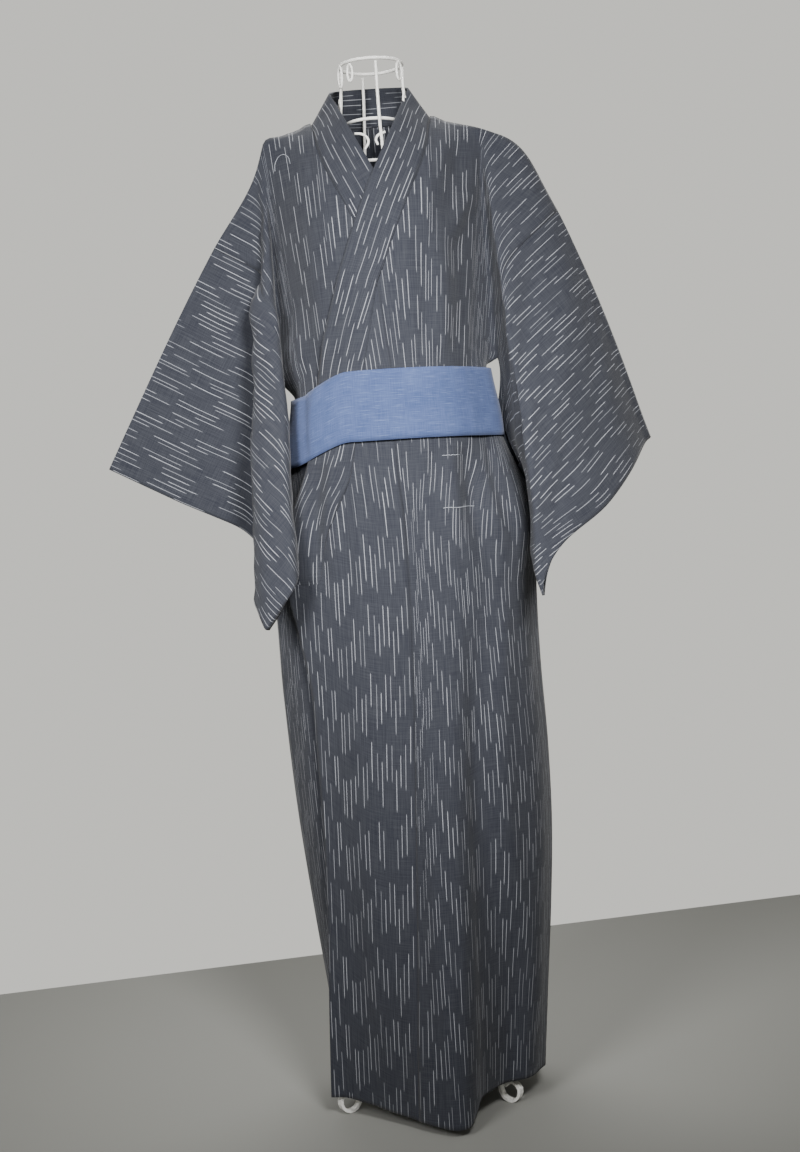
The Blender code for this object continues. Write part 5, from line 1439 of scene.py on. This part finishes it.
wireForm = {
    "wire": 0.0046,
    "ringTop": 1.5215,
    "ringRadius": 0.0465,
    "middle": 0.005,  # the neck ring's middle lies this far to the left
    # The collar ring: height, half width, then reach forwards and backwards.
    "ringCollar": (1.374, 0.0610, 0.0660, 0.0520),
    # Front and back ribs: height, across, and distance before or behind the middle.
    "ribFront": (
        (1.5188, 0.0125, 0.0465), (1.48, 0.0125, 0.0470), (1.438, 0.0130, 0.0475),
        (1.40, 0.0145, 0.0610), (1.374, 0.0155, 0.0690), (1.32, 0.0165, 0.0850),
        (1.25, 0.0165, 0.1010), (1.17, 0.0165, 0.1040), (1.02, 0.0165, 0.1030),
        (0.90, 0.0165, 0.1030), (0.80, 0.0165, 0.1030),
    ),
    "ribBack": (
        (1.5188, -0.0075, 0.0465), (1.48, -0.0085, 0.0465), (1.438, -0.0100, 0.0430),
        (1.40, -0.0120, 0.0480), (1.374, -0.0125, 0.0560), (1.32, -0.0130, 0.0790),
        (1.25, -0.0130, 0.0960), (1.17, -0.0130, 0.0990), (1.02, -0.0130, 0.0990),
        (0.90, -0.0130, 0.1010), (0.80, -0.0130, 0.1050),
    ),
    # Side ribs: across and distance below the ridge along the shoulder, then height and across.
    "ribSide": (
        (0.085, 0.0041), (0.110, 0.0044), (0.130, 0.0052), (0.142, 0.0080), (0.1485, 0.0150),
    ),
    "ribDown": (
        (1.385, 0.1500), (1.33, 0.1490), (1.25, 0.1400), (1.17, 0.1290), (1.10, 0.1200),
        (1.02, 0.1180), (0.90, 0.1220), (0.80, 0.1260),
    ),
    # Petals of thinner wire: heading in degrees, height, width, and height of the foot.
    "thin": 0.0036,
    "petals": (
        (205.0, 0.030, 0.012, 1.490), (232.0, 0.024, 0.009, 1.494), (-35.0, 0.026, 0.012, 1.494),
        (195.0, 0.022, 0.008, 1.452), (-22.0, 0.020, 0.008, 1.455),
    ),
    # Curls before the collar ring: across, forwards, height.
    "curls": (
        (
            (-0.0236, 0.054, 1.4155), (-0.0136, 0.057, 1.4135), (-0.0062, 0.058, 1.4075),
            (-0.0052, 0.058, 1.4010), (-0.0110, 0.058, 1.3915),
        ),
        (
            (0.0197, 0.054, 1.4155), (0.0085, 0.057, 1.4100), (0.0060, 0.058, 1.4040),
            (0.0085, 0.058, 1.3970),
        ),
    ),
}


# A bent wire: a curve with a round section through its own points.
def bentWire(name, points, thick, closed=False, smoothness=6, finish=paint, slot="white_paint"):
    shape = bpy.data.curves.new(name, "CURVE")
    shape.dimensions = "3D"
    shape.bevel_depth = thick / 2
    shape.bevel_resolution = 3
    shape.use_fill_caps = not closed
    shape.resolution_u = smoothness
    line = shape.splines.new("BEZIER")
    line.bezier_points.add(len(points) - 1)
    for spot, p in zip(line.bezier_points, points):
        spot.co = [float(v) + s for v, s in zip(p, yukata["originShift"])]
        spot.handle_left_type = spot.handle_right_type = "AUTO"
    line.use_cyclic_u = closed
    piece = bpy.data.objects.new(name, shape)
    bpy.context.scene.collection.objects.link(piece)
    makeActive(piece)
    bpy.ops.object.convert(target="MESH")
    piece = bpy.context.object
    piece.data.materials.clear()
    piece.data.materials.append(finish)
    bpy.ops.object.shade_smooth()
    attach(piece, "root")
    return piece


# Wires that stand in for a solid of the frame, under its name.
def frameWire(name, points, **settings):
    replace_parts(bentWire("wire_" + name, points, wireForm["wire"], **settings), name)


def ringPoints(height, wide, ahead, behind, shift=0.0):
    turn = np.linspace(0.0, 2 * math.pi, 24, endpoint=False)
    y = np.where(np.sin(turn) > 0, behind, ahead) * np.sin(turn)
    return np.stack([shift + wide * np.cos(turn), y, np.full(24, height)], axis=-1)


def makeRings():
    w = wireForm
    high, radius = w["ringTop"] + w["wire"] / 2 - yukata["gap"], w["ringRadius"]
    neck = ringPoints(high, radius, radius, radius, w["middle"])
    frameWire("ring_neck", neck, closed=True, smoothness=3)
    # the throat wire is bent round the front only, and its ends meet the side ribs
    arc = np.radians(np.linspace(-178.0, -2.0, 15))
    throat = [0.003 + 0.0405 * np.cos(arc), 0.0441 * np.sin(arc), np.full(15, 1.438)]
    frameWire("ring_throat", np.stack(throat, axis=-1), smoothness=3)
    frameWire("ring_collar", ringPoints(*w["ringCollar"]), closed=True, smoothness=3)


def makeRibs():
    w = wireForm
    frameWire("rib_front", [(x, -y, z) for z, x, y in w["ribFront"]])
    frameWire("rib_back", [(x, y, z) for z, x, y in w["ribBack"]])
    for name, side in (("rib_left", 1.0), ("rib_right", -1.0)):
        top = w["middle"] + side * w["ringRadius"]
        inner = top - side * 0.0005
        points = [(inner, 0.007, w["ringTop"] - 0.0006), (inner, 0.007, 1.487)]
        points += [(top + side * 0.005, 0.005, 1.456), (side * 0.0660, 0.0, 1.4405)]
        points += [(side * x, 0.0, float(ridge(x)) - below) for x, below in w["ribSide"]]
        points += [(side * x, 0.0, z) for z, x in w["ribDown"]]
        frameWire(name, points)


# Petal loops hang from the neck ring, and two curls stand in front of the ribs below it.
def makePetals():
    w = wireForm
    out = w["ringRadius"] + 0.003
    for index, (angle, tall, wide, low) in enumerate(w["petals"]):
        a = math.radians(angle)
        turnTo = np.array([-math.sin(a), math.cos(a)])
        at = np.array([w["middle"] + out * math.cos(a), out * math.sin(a)])
        loop = []
        for t in np.linspace(0.0, 2 * math.pi, 12, endpoint=False):
            x, y = at + turnTo * (wide / 2 * math.sin(t))
            loop.append((x, y, low + tall / 2 + tall / 2 * math.cos(t)))
        bentWire("petal_%d" % (index + 1), loop, w["thin"], closed=True)
    for index, points in enumerate(w["curls"]):
        bentWire("curl_%d" % (index + 1), [(x, -y, z) for x, y, z in points], w["thin"])


# The solids of the form that stay as they are get the paint.
def paintForm():
    for name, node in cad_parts.items():
        if name.startswith(("arm_", "ring_", "pole", "leg_")) and not node.hide_render:
            for socket in node.material_slots:
                socket.material = paint
    print("wire form made")


threads = {
    "thick": 0.0008,
    # Thick pale weft threads in the left front: across at both ends, height.
    "slubs": ((0.0700, 0.0950, 0.946), (0.0665, 0.1115, 0.872)),
    # A loose end of thread curled on the right shoulder: across, height.
    "loop": (
        (-0.1440, 1.377), (-0.1425, 1.389), (-0.1330, 1.399), (-0.1230, 1.394), (-0.1200, 1.383),
    ),
}


# Point on the outside of a piece, straight behind this place in front of it.
def onCloth(piece, x, z):
    shift = np.array(yukata["originShift"])
    ahead = (x + shift[0], -1.0, z + shift[2])
    _, place, normal, _ = piece.ray_cast(ahead, (0.0, 1.0, 0.0))
    return np.array(place) + np.array(normal) * threads["thick"] * 0.3 - shift


def makeThreads():
    look = {"finish": yarn, "slot": "charcoal_cotton"}
    front = bpy.data.objects["cloth_front_left"]
    for index, (start, end, z) in enumerate(threads["slubs"]):
        across = np.linspace(start, end, 9)
        run = [onCloth(front, x, z + 0.0004 * math.sin(900.0 * x)) for x in across]
        bentWire("slub_%d" % (index + 1), run, threads["thick"], **look)
    front = bpy.data.objects["cloth_front_right"]
    loop = [onCloth(front, x, z) for x, z in threads["loop"]]
    bentWire("loose_thread", loop, threads["thick"], **look)
    print("threads made")


makeBody()
makeOverlaps()
makeSleeves()
makeCollar()
makeBelt()
makeRings()
makeRibs()
makePetals()
paintForm()
makeThreads()
